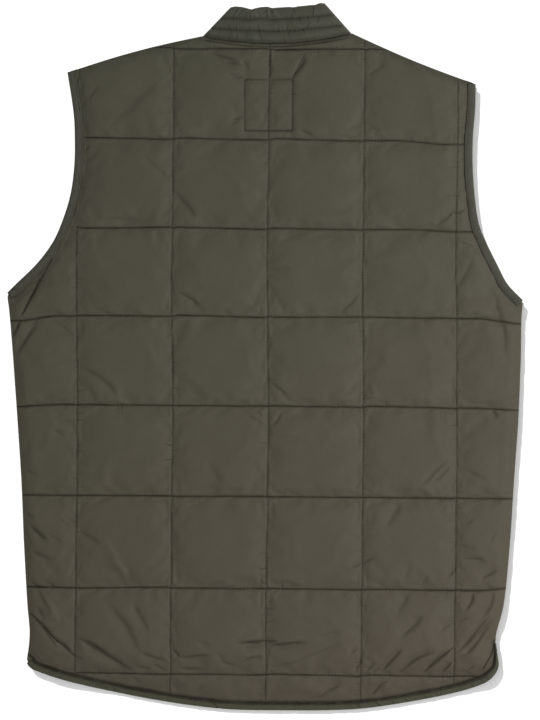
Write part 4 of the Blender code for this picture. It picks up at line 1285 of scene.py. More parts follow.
def add_layer(piece, name, values):
    """Keep a vector or a number for each point of a mesh as a named attribute."""
    kind, field = ("FLOAT_VECTOR", "vector") if np.ndim(values) == 2 else ("FLOAT", "value")
    layer = piece.data.attributes.new(name, kind, "POINT")
    layer.data.foreach_set(field, np.asarray(values, dtype=np.float32).ravel())


def add_sharp(piece, vertices):
    """Give a piece its distances from the sharp lines, and how dark their painted shade is."""
    for name, values in zip(("sharp_away", "sharp_painted_shade"), sharp_layers(vertices[:, :2])):
        add_layer(piece, name, values)


def grid_faces(rows, columns, first=0):
    """Four-cornered faces of a grid of points that are numbered row by row."""
    corner = first + np.arange(rows * columns).reshape(rows, columns)
    around = (corner[:-1, :-1], corner[:-1, 1:], corner[1:, 1:], corner[1:, :-1])
    return np.stack([part.ravel() for part in around], axis=1)


def rim(numbers):
    """The numbers of a grid's outer points, run anticlockwise."""
    parts = [numbers[0, :-1], numbers[:-1, -1], numbers[-1, :0:-1], numbers[:0:-1, 0]]
    return np.concatenate(parts)


def panel_mesh(fine, coarse, step):
    """Vertices and faces of a closed panel from a fine outside grid and a coarse inside grid.

    Every step-th point of the fine rim stands over a point of the coarse rim, and each stretch
    between two of them is one wall face.
    """
    rows, columns = fine.shape[:2]
    low_rows, low_columns = coarse.shape[:2]
    shift = rows * columns
    upper = rim(np.arange(shift).reshape(rows, columns))
    lower = rim(shift + np.arange(low_rows * low_columns).reshape(low_rows, low_columns))
    upper = np.append(upper, upper[0])
    lower = np.append(lower, lower[0])
    walls = [lower[:-1], lower[1:]]
    walls += [upper[np.arange(len(lower) - 1) * step + back] for back in range(step, -1, -1)]
    vertices = np.vstack([fine.reshape(-1, 3), coarse.reshape(-1, 3)])
    below = grid_faces(low_rows, low_columns, shift)[:, ::-1]
    return vertices, [grid_faces(rows, columns), below, np.stack(walls, axis=1)]


def midway(grid, axis):
    """A grid with a new point halfway between each two along an axis.

    A new point is nine sixteenths of its two neighbours less a sixteenth of the next two.
    """
    grid = np.moveaxis(grid, axis, 0)
    padded = np.concatenate([grid[:1], grid, grid[-1:]])
    halfway = (9.0 * (padded[1:-2] + padded[2:-1]) - padded[:-3] - padded[3:]) / 16.0
    finer = np.empty((2 * len(grid) - 1, *grid.shape[1:]))
    finer[::2] = grid
    finer[1::2] = halfway
    return np.moveaxis(finer, 0, axis)


def swollen(grid, sewn, slack):
    """How far each point of a sheet moves as the wadding under it swells.

    A cloth simulation with gravity off: pressure from below, a little spare cloth, and the
    points on the lines of stitching and along the edges held where they are.
    """
    rows, columns = grid.shape[:2]
    sheet = add_mesh("cloth trial", grid.reshape(-1, 3), [grid_faces(rows, columns)], None)
    held_points = sheet.vertex_groups.new(name="sewn")
    held_points.add(np.flatnonzero(sewn).tolist(), 1.0, "REPLACE")
    cloth = sheet.modifiers.new("cloth", "CLOTH")
    for name, value in SIM_SETTINGS.items():
        setattr(cloth.settings, name, value)
    cloth.settings.vertex_group_mass = held_points.name
    cloth.settings.effector_weights.gravity = 0.0
    cloth.settings.shrink_min = -slack
    cloth.collision_settings.use_collision = False
    cloth.point_cache.frame_start = 1
    cloth.point_cache.frame_end = SIM_FRAMES
    scene = bpy.context.scene
    for number in range(1, SIM_FRAMES + 1):
        scene.frame_set(number)
    settled = sheet.evaluated_get(bpy.context.evaluated_depsgraph_get())
    places = np.empty(3 * rows * columns, dtype=np.float32)
    settled.data.vertices.foreach_get("co", places)
    bpy.data.objects.remove(sheet, do_unlink=True)
    scene.frame_set(1)
    moved = places.reshape(grid.shape) - grid
    return SIM_SHARE * SIM_CAP * np.tanh(moved / SIM_CAP)


def ring_faces(rings, size):
    """Faces of a tube of rings of points, with its two ends closed."""
    corner = np.arange(rings * size).reshape(rings, size)
    onward = np.roll(corner, -1, axis=1)
    around = (corner[:-1], onward[:-1], onward[1:], corner[1:])
    sides = np.stack([part.ravel() for part in around], axis=1)
    return [sides, corner[:1, ::-1], corner[-1:]]


def tape_rings(path, base, reaches, relief, sizes, seed):
    """Rings of a binding: a folded strip round the cloth's edge, carried along a path.

    The profile is a flattened loop with a groove for its stitching, and noise along the path
    makes its upper side uneven. reaches gives the binding's width at each point and relief the share
    of the groove's depth. With the rings come each point's place along and across the strip, and how
    near it is to the groove, which sets the strength of the tape's painted shade.
    """
    tall, reach = sizes.binding_tall, sizes.binding_reach
    inset, below, groove = np.array(TAPE_TOP).T
    top = np.column_stack([reach - inset, tall - below + groove * relief])
    turn = np.radians(np.linspace(90.0, 270.0, TAPE_NOSE_PARTS))
    nose = np.column_stack([TAPE_NOSE * (1.0 + np.cos(turn)), tall / 2 * (1.0 + np.sin(turn))])
    slot = np.array([
        (reach, 0.0),
        (reach, BINDING_WALL),
        (BINDING_SLOT, BINDING_WALL),
        (BINDING_SLOT, tall - BINDING_WALL),
    ])
    profile = np.vstack([top, nose, slot])
    path = evenly(path, TAPE_STEP)
    across = profile[:, 0] * (reaches(path) / reach)[:, None]
    flat = path[:, None, :] + across[..., None] * inward(path)[:, None, :]
    level = base(flat) + profile[:, 1]
    measure = np.linspace(0.0, 1.0, len(path)) * len(path) * TAPE_STEP
    spread, around = np.meshgrid(measure, np.linspace(0.0, 2.0, len(profile)), indexing="ij")
    quick, slow = (soft_noise(spread / size, around, seed + n) for n, size in enumerate(TAPE_RIPPLE_LENGTHS))
    shown = np.concatenate([np.ones(len(top)), np.linspace(1.0, 0.0, len(nose)), np.zeros(len(slot))])
    shown[0] = 0.0
    level = level + TAPE_RIPPLE * (quick + TAPE_RIPPLE_SLOW * slow) * shown
    # Painted shade near the groove of the tape's stitching, on its upper side only
    inner = bell(profile[:, 0] - TAPE_SEAM, TAPE_SEAM_WIDTH) * shown
    strip = np.column_stack([spread.ravel(), across.ravel(), np.zeros(across.size)])
    return np.dstack([flat, level]), strip, np.tile(inner, len(path))


def drooped(levels, share):
    """Shares of the collar's height, lowered towards the folds at both sides.

    The drop grows as the fifth power of the distance from the middle. It is a parabola over the
    height, so that the two edges stay where they are.
    """
    drop = COLLAR_DROOP * np.abs(2.0 * share - 1.0) ** COLLAR_DROOP_POWER
    return levels - 4.0 * drop[:, None] * levels * (1.0 - levels)


def collar_levels():
    """Shares of the collar's height from the seam up, and how far the band swells at each as a sine."""
    channels = list(zip(COLLAR_LINES, COLLAR_LINES[1:]))
    parts = np.linspace(0.0, 1.0, COLLAR_PARTS, endpoint=False)
    levels = [np.array([0.0])] + [start + parts * (end - start) for start, end in channels]
    levels = np.concatenate(levels + [[1.0]])
    swell = np.zeros(len(levels))
    for start, end in channels:
        share = np.clip((levels - start) / (end - start), 0.0, 1.0)
        swell = np.maximum(swell, np.sin(math.pi * share) ** COLLAR_CHANNEL_SHAPE)
    return levels, swell


def band(low, high, heights):
    """Places at shares of the height between the collar's seam and its top, just clear of the seam."""
    up = high - low
    start = low + up / np.linalg.norm(up, axis=1, keepdims=True) * SEAM_GAP
    return start[:, None, :] + heights[..., None] * (high - start)[:, None, :]


def puckers(spread, up):
    """The collar's puckers: narrow noise on a slant that comes in patches, and wide noise."""

    def drawn(pucker, along, seed):
        return pucker.strength * soft_noise(along / pucker.along, up / pucker.up, seed)

    patch = ease(0.5 + drawn(PUCKER_PATCH, spread, SEED_PATCH))
    slanted = spread + up * drawn(PUCKER_SLANT, spread, SEED_SLANT)
    return patch * drawn(PUCKER_NARROW, slanted, SEED_PUCKER) + drawn(PUCKER_WIDE, spread, SEED_WIDE)


def collar_rings(sizes):
    """Rings of the collar: a channelled band round the neck, folded flat at both sides.

    Up the band its wall is thin on each line of stitching and swells as a sine between. Round the
    band it lies over the back, turns at each fold as half a circle and runs on along the fronts.
    """
    levels, swell = collar_levels()
    wall = COLLAR_LINE_WALL + (sizes.collar_channel - COLLAR_LINE_WALL) * swell
    middle = (FRONT_TALL + BACK_INSIDE) / 2
    width = np.linalg.norm(np.subtract(*NECK_POINTS))
    fold = COLLAR_FOLD / width

    def joined(shell, height, lining, low_height):
        return np.concatenate([np.dstack([shell, height]), np.dstack([lining, low_height])], axis=1)

    def back_rings():
        share = np.linspace(fold, 1.0 - fold, COLLAR_RINGS)
        low, high = back_neck(share), collar_top(share)
        high[:, 1] += COLLAR_WAVE * soft_noise(share * width / COLLAR_WAVE_LENGTH, 0.0 * share, SEED_TOP)
        high[:, 1] -= COLLAR_DIP * bell(high[:, 0] - COLLAR_DIP_PLACE, COLLAR_DIP_WIDTH)
        shell, lining = band(low, high, drooped(levels, share)), band(low, high, COLLAR_INSIDE)
        spread, up = np.meshgrid(share * width, levels * sizes.collar_height, indexing="ij")
        lift = PUCKER_HEIGHT * puckers(spread, up) * (PUCKER_AT_LINE + (1.0 - PUCKER_AT_LINE) * swell)
        return joined(shell, back_inside(shell) + wall + lift, lining, back_inside(lining))

    def fold_rings(root, tip, turns):
        reach, rise = np.cos(turns)[:, None, None], np.sin(turns)[:, None]

        def turned(heights, share_of_reach):
            start, end = (
                band(back_neck(place), collar_top(place), heights(place))
                for place in (np.array([root]), np.array([tip]))
            )
            return start + share_of_reach * reach * (end - start)

        shell = turned(lambda place: drooped(levels, place), 1.0)
        lining = turned(lambda place: COLLAR_INSIDE, COLLAR_FOLD_INSIDE)
        height = middle + rise * np.where(rise > 0, BACK_INSIDE + wall - middle, middle)
        low_height = middle + rise * SEAM_GAP / 2 + np.zeros(len(COLLAR_INSIDE))
        return joined(shell, height, lining, low_height)

    def front_rings(side):
        root = np.array([fold if side == LEFT else 1.0 - fold])
        lower = front_curve(side, back_neck(root)[0], FRONT_NECK)
        upper = front_curve(side, collar_top(root)[0], FRONT_NECK + sizes.collar_height)
        lapped = (np.arange(len(lower)) >= len(lower) - LAP_POINTS)[:, None]
        floor = np.where(lapped & (side == RIGHT), LAP_LEVEL + SEAM_GAP, 0.0)
        roof = np.where(lapped & (side == LEFT), LAP_LEVEL, FRONT_TALL) + np.zeros(len(COLLAR_INSIDE))
        dent = np.where(lapped, 0.0, COLLAR_DENT) * (1.0 - swell)
        shell = band(lower, upper, drooped(levels, root))
        return joined(shell, floor + dent, band(lower, upper, COLLAR_INSIDE), roof)

    rings = np.concatenate([
        front_rings(LEFT)[::-1],
        fold_rings(fold, 0.0, COLLAR_TURNS[::-1]),
        back_rings(),
        fold_rings(1.0 - fold, 1.0, COLLAR_TURNS),
        front_rings(RIGHT),
    ])
    return rings, np.concatenate([levels, COLLAR_INSIDE])


def stitch_marks(path, sizes):
    """Starts and ends of the stitches along a path, one for each pitch."""
    count = int(run_length(path)[-1] // sizes.stitch_pitch)
    first = (np.arange(count) + 0.5) * sizes.stitch_pitch - sizes.stitch_length / 2
    return np.stack([along_path(path, marks) for marks in (first, first + sizes.stitch_length)], axis=1)


# A stitch from one end to the other: the share of its length, its width and its lift in thread widths
THREAD_SIDES = 6
StitchStep = namedtuple("StitchStep", "share width lift")
STITCH_STEPS = (
    StitchStep(0.0, 0.45, -0.8),
    StitchStep(0.12, 0.85, -0.1),
    StitchStep(0.5, 1.0, 0.2),
    StitchStep(0.88, 0.85, -0.1),
    StitchStep(1.0, 0.45, -0.8),
)


def stitch_mesh(marks, levels, sizes):
    """Vertices and faces of stitches: a six-sided thread that dips into the cloth at both ends."""
    places, widths, lifts = np.array(STITCH_STEPS).T
    widths = widths * sizes.thread_width / 2
    turn = np.linspace(0.0, 2 * math.pi, THREAD_SIDES, endpoint=False)
    run = marks[:, 1] - marks[:, 0]
    run = run / np.linalg.norm(run, axis=1, keepdims=True)
    side = np.column_stack([-run[:, 1], run[:, 0]])
    centre = marks[:, None, 0] + places[None, :, None] * (marks[:, None, 1] - marks[:, None, 0])
    height = levels[:, None, 0] + places * (levels[:, None, 1] - levels[:, None, 0])
    height = height + lifts * sizes.thread_width
    spread = widths[:, None] * np.cos(turn)
    rise = widths[:, None] * np.sin(turn)
    flat = centre[:, :, None, :] + spread[None, :, :, None] * side[:, None, None, :]
    tall = height[:, :, None] + rise[None, :, :]
    vertices = np.concatenate([flat, tall[..., None]], axis=3).reshape(-1, 3)
    shift = np.arange(len(marks))[:, None, None] * len(places) * len(turn)
    rings = ring_faces(len(places), len(turn))
    return vertices, [(group[None] + shift).reshape(-1, group.shape[1]) for group in rings]


def node_group(name, inputs, outputs):
    """An empty shader node group with its sockets, given as a kind or a number, and its two ends."""
    group = bpy.data.node_groups.new(name, "ShaderNodeTree")
    for label, kind in inputs.items():
        number = isinstance(kind, float)
        kind_name = "NodeSocketFloat" if number else f"NodeSocket{kind}"
        socket = group.interface.new_socket(label, in_out="INPUT", socket_type=kind_name)
        if number:
            socket.default_value = kind
    for label, kind in outputs.items():
        group.interface.new_socket(label, in_out="OUTPUT", socket_type=f"NodeSocket{kind}")
    return group, group.nodes.new("NodeGroupInput").outputs, group.nodes.new("NodeGroupOutput").inputs


def add_node(tree, kind, inputs, **settings):
    """A new shader node with its settings, and its inputs linked to sockets or set to values."""
    node = tree.nodes.new(f"ShaderNode{kind}")
    for name, value in settings.items():
        setattr(node, name, value)
    for name, value in inputs.items():
        if isinstance(value, bpy.types.NodeSocket):
            tree.links.new(value, node.inputs[name])
        else:
            node.inputs[name].default_value = value
    return node


def maths(tree, operation, first, second):
    """A maths node on two values, each a socket or a number."""
    return add_node(tree, "Math", {0: first, 1: second}, operation=operation).outputs[0]


def times(tree, first, second):
    """One value multiplied by another."""
    return maths(tree, "MULTIPLY", first, second)


def plus(tree, first, second):
    """One value added to another."""
    return maths(tree, "ADD", first, second)


def larger(tree, first, second):
    """The larger of two values."""
    return maths(tree, "MAXIMUM", first, second)


def noise(tree, vector, scale, detail, roughness):
    """A noise texture's value."""
    inputs = {"Vector": vector, "Scale": scale, "Detail": detail, "Roughness": roughness}
    return add_node(tree, "TexNoise", inputs).outputs["Fac"]


def ranged(tree, value, low, high, start=0.0, end=1.0):
    """A value between a start and an end spread over a new range."""
    inputs = {"Value": value, "From Min": start, "From Max": end, "To Min": low, "To Max": high}
    return add_node(tree, "MapRange", inputs).outputs["Result"]


def split(tree, vector):
    """The three numbers of a vector."""
    return add_node(tree, "SeparateXYZ", {"Vector": vector}).outputs


def opaque(dye):
    """A colour as a node takes it: a socket as it is, three numbers with a full alpha."""
    return dye if isinstance(dye, bpy.types.NodeSocket) else (*dye, 1.0)


def blended(tree, factor, first, second):
    """A mix of two colours, each a socket or three numbers, by a factor's socket."""
    inputs = {"Factor": factor, 6: opaque(first), 7: opaque(second)}
    return add_node(tree, "Mix", inputs, data_type="RGBA").outputs[2]


def bell_curve(tree, distance, width):
    """A bell curve of a distance: 1 on the line, and 1 / e at one width from it."""
    share = maths(tree, "DIVIDE", distance, width)
    return maths(tree, "POWER", math.exp(-1.0), times(tree, share, share))


def weave_group():
    """Plain weave: two sets of bands at right angles, each stronger where the other is weak."""
    sockets = {"Vector": "Vector", "Threads": NYLON_THREADS}
    group, start, end = node_group("Plain weave", sockets, {"Height": "Float"})
    inputs = {"Vector": start["Vector"], "Scale": start["Threads"], "Distortion": WEAVE_UNEVEN, "Detail": 0.0}
    bands = [add_node(group, "TexWave", inputs, bands_direction=axis).outputs["Fac"] for axis in "XY"]
    group.links.new(times(group, *bands), end["Height"])
    return group


def mottle_group():
    """Uneven dye and wear: slow and quick noise mixed, as a mask and as the mix of two colours."""
    sockets = {"Vector": "Vector", "Main": "Color", "Worn": "Color"}
    group, start, end = node_group("Uneven dye", sockets, {"Color": "Color", "Mask": "Float"})
    slow = times(group, noise(group, start["Vector"], *DYE_SLOW), DYE_SHARES[0])
    quick = times(group, noise(group, start["Vector"], *DYE_QUICK), DYE_SHARES[1])
    mask = ranged(group, plus(group, slow, quick), *DYE_RANGE)
    group.links.new(blended(group, mask, start["Main"], start["Worn"]), end["Color"])
    group.links.new(mask, end["Mask"])
    return group


def crinkle_group():
    """The fine crinkle of thin nylon: noise at two sizes, as a height."""
    group, start, end = node_group("Crinkle", {"Vector": "Vector"}, {"Height": "Float"})
    small = times(group, noise(group, start["Vector"], *CRINKLE_SMALL), CRINKLE_SHARE)
    group.links.new(plus(group, noise(group, start["Vector"], *CRINKLE_LARGE), small), end["Height"])
    return group


def tick_group():
    """Short puckers across the lines of stitching, as a height below the cloth.

    Away holds the distances to the nearest level and upright lines. Along each side of a line, random
    places have a narrow trough as a bell curve, which fades out over a random reach from the line.
    """
    sockets = {"Vector": "Vector", "Away": "Vector", "Width": 0.1, "Height": 0.1, "Reach": 0.01}
    sockets |= {"Pitch": TICK_PITCH, "Uprights": 1.0, "Levels": 1.0}
    group, start, end = node_group("Seam puckers", sockets, {"Height": "Float"})
    vector = start["Vector"]
    places, distances = split(group, vector), split(group, start["Away"])
    slant = maths(group, "SUBTRACT", noise(group, vector, TICK_SLANT_SCALE, 1.0, 0.5), 0.5)
    patch = ranged(group, noise(group, vector, TICK_PATCH_SCALE, 1.0, 0.5), *TICK_PATCH_RANGE)
    heights = []
    for axis, other, pitch, weight in (("X", "Y", "Width", "Uprights"), ("Y", "X", "Height", "Levels")):
        away = distances[other]
        side = maths(group, "DIVIDE", places[axis], times(group, start[pitch], 0.5))
        side = maths(group, "FLOOR", side, 0.0)
        lean = times(group, times(group, away, slant), TICK_LEAN)
        place = maths(group, "DIVIDE", plus(group, places[other], lean), start["Pitch"])
        place = plus(group, place, times(group, side, TICK_APART))
        cells = add_node(group, "TexVoronoi", {}, voronoi_dimensions="1D")
        cells.inputs["Scale"].default_value = 1.0
        group.links.new(place, cells.inputs["W"])
        chance = add_node(group, "SeparateColor", {"Color": cells.outputs["Color"]}).outputs
        trough = bell_curve(group, cells.outputs["Distance"], TICK_WIDTH)
        reach = times(group, start["Reach"], chance["Red"])
        fade = maths(group, "SUBTRACT", 1.0, maths(group, "DIVIDE", away, reach))
        fade = maths(group, "POWER", larger(group, fade, 0.0), TICK_FADE)
        depth = times(group, fade, maths(group, "POWER", chance["Green"], TICK_FADE))
        depth = times(group, times(group, depth, patch), start[weight])
        heights.append(times(group, trough, depth))
    group.links.new(times(group, plus(group, *heights), -1.0), end["Height"])
    return group


EFFECTS = {
    "Plain weave": weave_group,
    "Uneven dye": mottle_group,
    "Crinkle": crinkle_group,
    "Seam puckers": tick_group,
}


def placed(tree, name, **inputs):
    """The outputs of a shared effect, placed with its own values. Its group is made once."""
    group = bpy.data.node_groups.get(name) or EFFECTS[name]()
    return add_node(tree, "Group", inputs, node_tree=group).outputs


def layer(tree, name):
    """The outputs of a named attribute of the mesh."""
    return add_node(tree, "Attribute", {}, attribute_name=name).outputs


def empty_material(name, finish):
    """A new material with what is the same all over, its tree, its shader and its Object coordinates."""
    surface = bpy.data.materials.new(name)
    surface.use_nodes = True
    tree = surface.node_tree
    shader = tree.nodes["Principled BSDF"]
    for label, value in finish.items():
        shader.inputs[label].default_value = value
    return surface, tree, shader, add_node(tree, "TexCoord", {}).outputs["Object"]


def dyed(tree, shader, vector, main, worn, rough):
    """The colour of an uneven dye, whose worn places also have their own roughness."""
    dye = placed(tree, "Uneven dye", Vector=vector, Main=opaque(main), Worn=opaque(worn))
    tree.links.new(ranged(tree, dye["Mask"], *rough), shader.inputs["Roughness"])
    return dye["Color"]


def bumped(tree, shader, height, distance):
    """Bend a shader's normal by a height."""
    inputs = {"Height": height, "Strength": BUMP_STRENGTH, "Distance": distance}
    tree.links.new(add_node(tree, "Bump", inputs).outputs["Normal"], shader.inputs["Normal"])


def drifted(tree, vector, drift, near, far):
    """A colour that turns into another one along a direction, between two places."""
    lean = add_node(tree, "VectorMath", {0: vector, 1: drift.direction}, operation="DOT_PRODUCT")
    share = ranged(tree, lean.outputs["Value"], 0.0, 1.0, drift.start, drift.end)
    return blended(tree, share, near, far)


def sharp_shade(tree):
    """The painted shade at the foot of the sharpest creases: a bell curve of the distance."""
    total = 0.0
    distances, darks = (split(tree, layer(tree, name)["Vector"]) for name in ("sharp_away", "sharp_painted_shade"))
    for away, dark in zip(distances, darks):
        total = larger(tree, times(tree, bell_curve(tree, away, 1.0), dark), total)
    return total


def seam_shade(tree, vector):
    """The painted shade of the cloth near its lines: for each kind of line a bell curve of the distance.

    Slow noise along the lines makes some stretches darker than others. Creases have their own painted shade.
    """
    uneven = ranged(tree, noise(tree, vector, *SEAM_NOISE), *SEAM_RANGE)
    total = layer(tree, "crease_and_roll_shade")["Fac"]
    distances = split(tree, layer(tree, "from_seams")["Vector"])
    for distance, depth, width in zip(distances, SEAM_SHADES, SEAM_WIDTHS):
        shade = times(tree, times(tree, bell_curve(tree, distance, width), depth), uneven)
        total = larger(tree, total, shade)
    return total


def puckered(tree, vector, pitches, ticks):
    """The puckers along a piece's lines, whose distances its mesh holds."""
    values = zip(("Width", "Height", "Reach", "Uprights", "Levels"), (*pitches, ticks.reach, *ticks.weights))
    away = layer(tree, "from_seams")["Vector"]
    return placed(tree, "Seam puckers", Vector=vector, Away=away, **dict(values))["Height"]


def nylon(name, dyes, drift, pattern, pitches, ticks):
    """Padded nylon: woven, crinkled, folded, puckered at its lines and unevenly dyed, with painted shade.

    dyes are its main and worn colours, the one that they drift to and the dark one of its painted shade.
    pattern gives the vector that its lines follow, and pitches are the distances between them.
    """
    surface, tree, shader, vector = empty_material(name, NYLON_FINISH)
    main, worn, far, seam = dyes
    dye = drifted(tree, vector, drift, dyed(tree, shader, vector, main, worn, NYLON_ROUGH), far)
    puckers_below = puckered(tree, pattern(tree, vector), pitches, ticks)
    sharp = sharp_shade(tree)
    # Painted shade on the lines, in the creases, over the shoulders, in the puckers and at the sharp lines
    shade = larger(tree, seam_shade(tree, vector), times(tree, puckers_below, -TICK_SHADE))
    dye = blended(tree, larger(tree, shade, sharp), dye, seam)
    tree.links.new(dye, shader.inputs["Base Color"])
    height = times(tree, placed(tree, "Plain weave", Vector=vector)["Height"], NYLON_WEAVE)
    height = plus(tree, height, placed(tree, "Crinkle", Vector=vector)["Height"])
    height = plus(tree, height, times(tree, sharp, -SHARP_DEPTH))
    height = plus(tree, height, times(tree, puckers_below, ticks.depth))
    bumped(tree, shader, height, NYLON_BUMP)
    return surface


def cloth_material(colours, sizes):
    """The quilted nylon of the back and the fronts, puckered along the squares' lines."""

    def squares(tree, vector):
        place, turn = (*QUILT_CENTRE, 0.0), (0.0, 0.0, -sizes.quilt_lean)
        inputs = {"Vector": vector, "Location": place, "Rotation": turn}
        return add_node(tree, "Mapping", inputs, vector_type="TEXTURE").outputs["Vector"]

    found = bpy.data.materials.get("quilted nylon")
    dyes = (colours.cloth, colours.cloth_worn, colours.cloth_tail, colours.seam)
    pitches = (sizes.quilt_across, sizes.quilt_along)
    return found or nylon("quilted nylon", dyes, CLOTH_DRIFT, squares, pitches, CLOTH_TICKS)


def collar_material(colours, sizes):
    """The collar's nylon, a little darker, puckered along its channels."""

    def channels(tree, vector):
        return layer(tree, "band")["Vector"]

    dyes = (colours.collar, colours.collar, colours.collar_end, colours.seam)
    pitches = (4 * FAR, sizes.collar_height * (COLLAR_LINES[2] - COLLAR_LINES[1]))
    return nylon("collar nylon", dyes, COLLAR_DRIFT, channels, pitches, COLLAR_TICKS)


def tape_material(colours):
    """Binding tape: a coarser weave, a little darker than the body, with painted shade along its inner edge.
    """
    surface, tree, shader, vector = empty_material("binding tape", TAPE_FINISH)
    dye = dyed(tree, shader, vector, colours.binding, colours.binding_worn, TAPE_ROUGH)
    uneven = ranged(tree, noise(tree, vector, *TAPE_NOISE), *TAPE_RANGE)
    # Painted shade along the inner edge and at the feet of the tape's folds
    inner = maths(tree, "MINIMUM", times(tree, layer(tree, "inner")["Fac"], uneven), TAPE_DARKEST)
    sharp = sharp_shade(tree)
    dye = drifted(tree, vector, TAPE_DRIFT, dye, colours.binding_tail)
    dye = blended(tree, larger(tree, inner, sharp), dye, colours.seam)
    tree.links.new(dye, shader.inputs["Base Color"])
    weave = placed(tree, "Plain weave", Vector=vector, Threads=TAPE_THREADS)["Height"]
    below = puckered(tree, layer(tree, "strip")["Vector"], (4 * FAR, 4 * FAR), TAPE_TICKS)
    height = plus(tree, times(tree, weave, TAPE_WEAVE), below)
    bumped(tree, shader, maths(tree, "SUBTRACT", height, sharp), TAPE_BUMP)
    return surface


def worn_material(name, main, wear, rough, finish):
    """Thread or metal of one colour, brightened by wear in places."""
    surface, tree, shader, vector = empty_material(name, finish)
    worn = [wear * value for value in main]
    tree.links.new(dyed(tree, shader, vector, main, worn, rough), shader.inputs["Base Color"])
    return surface


def floor_material(colours):
    """A plain pale floor."""
    return empty_material("pale floor", {"Base Color": opaque(colours.floor), **FLOOR_FINISH})[0]


def fitted(piece, slot, *nodes):
    """Give a piece its body and hide the nodes that it stands for; its slot is not used."""
    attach(piece, BODY)
    if nodes:
        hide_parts(*nodes)
    return piece


# Grids of the panels: the parts between two lines, and how far they gather at the lines
BACK_ACROSS = (34, 48, 44, 44, 46, 36)
BACK_ALONG = (14, 58, 48, 44, 44, 44, 44, 48, 8)
BACK_GATHER = 0.5
FRONT_ACROSS = (12, 22, 22, 4)
FRONT_ALONG = (6, 20, 20, 20, 20, 20, 20, 20, 6)
FRONT_GATHER = 0.4
FRONT_GROOVE = 0.0014
FRONT_GROOVE_WIDTH = 0.004
INSIDE_STEP = 4

# Lines of stitching: where they may start and end, and how far they stay from edges and seams
LINE_STEP = 0.002
UPRIGHT_SPAN = (-0.34, 0.42)
LEVEL_SPAN = (-0.30, 0.30)
NECK_SPAN = (0.03, 0.97)
EDGE_CLEAR = 0.002
BINDING_CLEAR = 0.001
NECK_CLEAR = 0.003

# The floor and the camera, which looks straight down
FLOOR_HALF = 12.0
SENSOR_WIDTH = 36.0
CAMERA_AIM = (0.0054, -0.0033)
CAMERA_LEVEL = 0.006


class GILET_OT_back(bpy.types.Operator):
    """Make the quilted back"""

    bl_idname = "gilet.back"
    bl_label = "Quilted back"

    def execute(self, context):
        sizes = context.scene.gilet_sizes
        surface = BackSurface(sizes)
        lines = (UPRIGHT_LINES, LEVEL_LINES, BACK_ACROSS, BACK_ALONG, BACK_GATHER)
        flat = np.dstack(quilt_grid(back_outline(), sizes, *lines))
        points = flat.reshape(-1, 2)
        points = drawn_in(points, surface.free(points))
        flat = points.reshape(flat.shape)
        outside = np.dstack([flat, surface.over(points).reshape(flat.shape[:2])])
        coarse = outside[::SIM_STEP, ::SIM_STEP]
        sewn = surface.sewn(coarse[..., :2].reshape(-1, 2)).reshape(coarse.shape[:2])
        sewn[[0, -1]] = True
        sewn[:, [0, -1]] = True
        outside = outside + midway(midway(swollen(coarse, sewn, sizes.spare_cloth), 0), 1)
        inner = flat[::INSIDE_STEP, ::INSIDE_STEP]
        depth = surface.under(inner.reshape(-1, 2)).reshape(inner.shape[:2])
        vertices, faces = panel_mesh(outside, np.dstack([inner, depth]), INSIDE_STEP)
        piece = add_mesh("quilted_back", vertices, faces, cloth_material(context.scene.gilet_colours, sizes))
        add_layer(piece, "from_seams", surface.shade(vertices[:, :2]))
        # Painted shade in the creases and where the cloth rolls over the shoulders
        crease_and_roll_shade = np.maximum(crease_shade(vertices[:, :2]), surface.rolled(vertices[:, :2]))
        add_layer(piece, "crease_and_roll_shade", crease_and_roll_shade)
        add_sharp(piece, vertices)
        fitted(piece, "quilted_cloth", "back_panel")
        return {"FINISHED"}


class GILET_OT_fronts(bpy.types.Operator):
    """Make the two quilted fronts, which lie under the back"""

    bl_idname = "gilet.fronts"
    bl_label = "Quilted fronts"

    def execute(self, context):
        sizes = context.scene.gilet_sizes
        for side, word in enumerate(WORDS):
            bound = [armhole_path(side), front_hem(side)]
            uprights = UPRIGHT_LINES[:3] if side == LEFT else UPRIGHT_LINES[2:]
            counts = FRONT_ACROSS if side == LEFT else FRONT_ACROSS[::-1]
            lines = (uprights, LEVEL_LINES, counts, FRONT_ALONG, FRONT_GATHER)
            flat = np.dstack(quilt_grid(front_outline(side), sizes, *lines))
            points = flat.reshape(-1, 2)
            reach = sizes.binding_reach + 2 * SEAM_GAP
            pressed = 1.0 - ease((distance_to(points, bound) - reach) / PRESSED_FADE)
            from_centre = OUTWARDS[side] * (points[:, 0] - front_centre(points[:, 1]))
            lap = 1.0 - ease((from_centre - LAP_STEP[0]) / (LAP_STEP[1] - LAP_STEP[0]))
            groove = np.exp(-np.abs(from_lines(points, sizes)) / FRONT_GROOVE_WIDTH).sum(axis=0)
            low = np.maximum(BINDING_LIFT * pressed, FRONT_GROOVE * np.minimum(groove, 1.0) * (1.0 - lap))
            high = FRONT_TALL - BINDING_LIFT * pressed
            if side == LEFT:
                high = np.minimum(high, FRONT_TALL - (FRONT_TALL - LAP_LEVEL) * lap)
            else:
                low = np.maximum(low, (LAP_LEVEL + SEAM_GAP) * lap)
            top, bottom = (np.dstack([flat, height.reshape(flat.shape[:2])]) for height in (high, low))
            vertices, faces = panel_mesh(top, bottom, 1)
            cloth = cloth_material(context.scene.gilet_colours, sizes)
            piece = add_mesh(f"quilted_front_{word}", vertices, faces, cloth)
            upright, level = np.abs(from_lines(vertices[:, :2], sizes))
            from_hem = np.full(len(vertices), FAR)
            add_layer(piece, "from_seams", np.column_stack([level, upright + UPRIGHT_PALE, from_hem]))
            fitted(piece, "quilted_cloth", f"front_{word}")
        return {"FINISHED"}


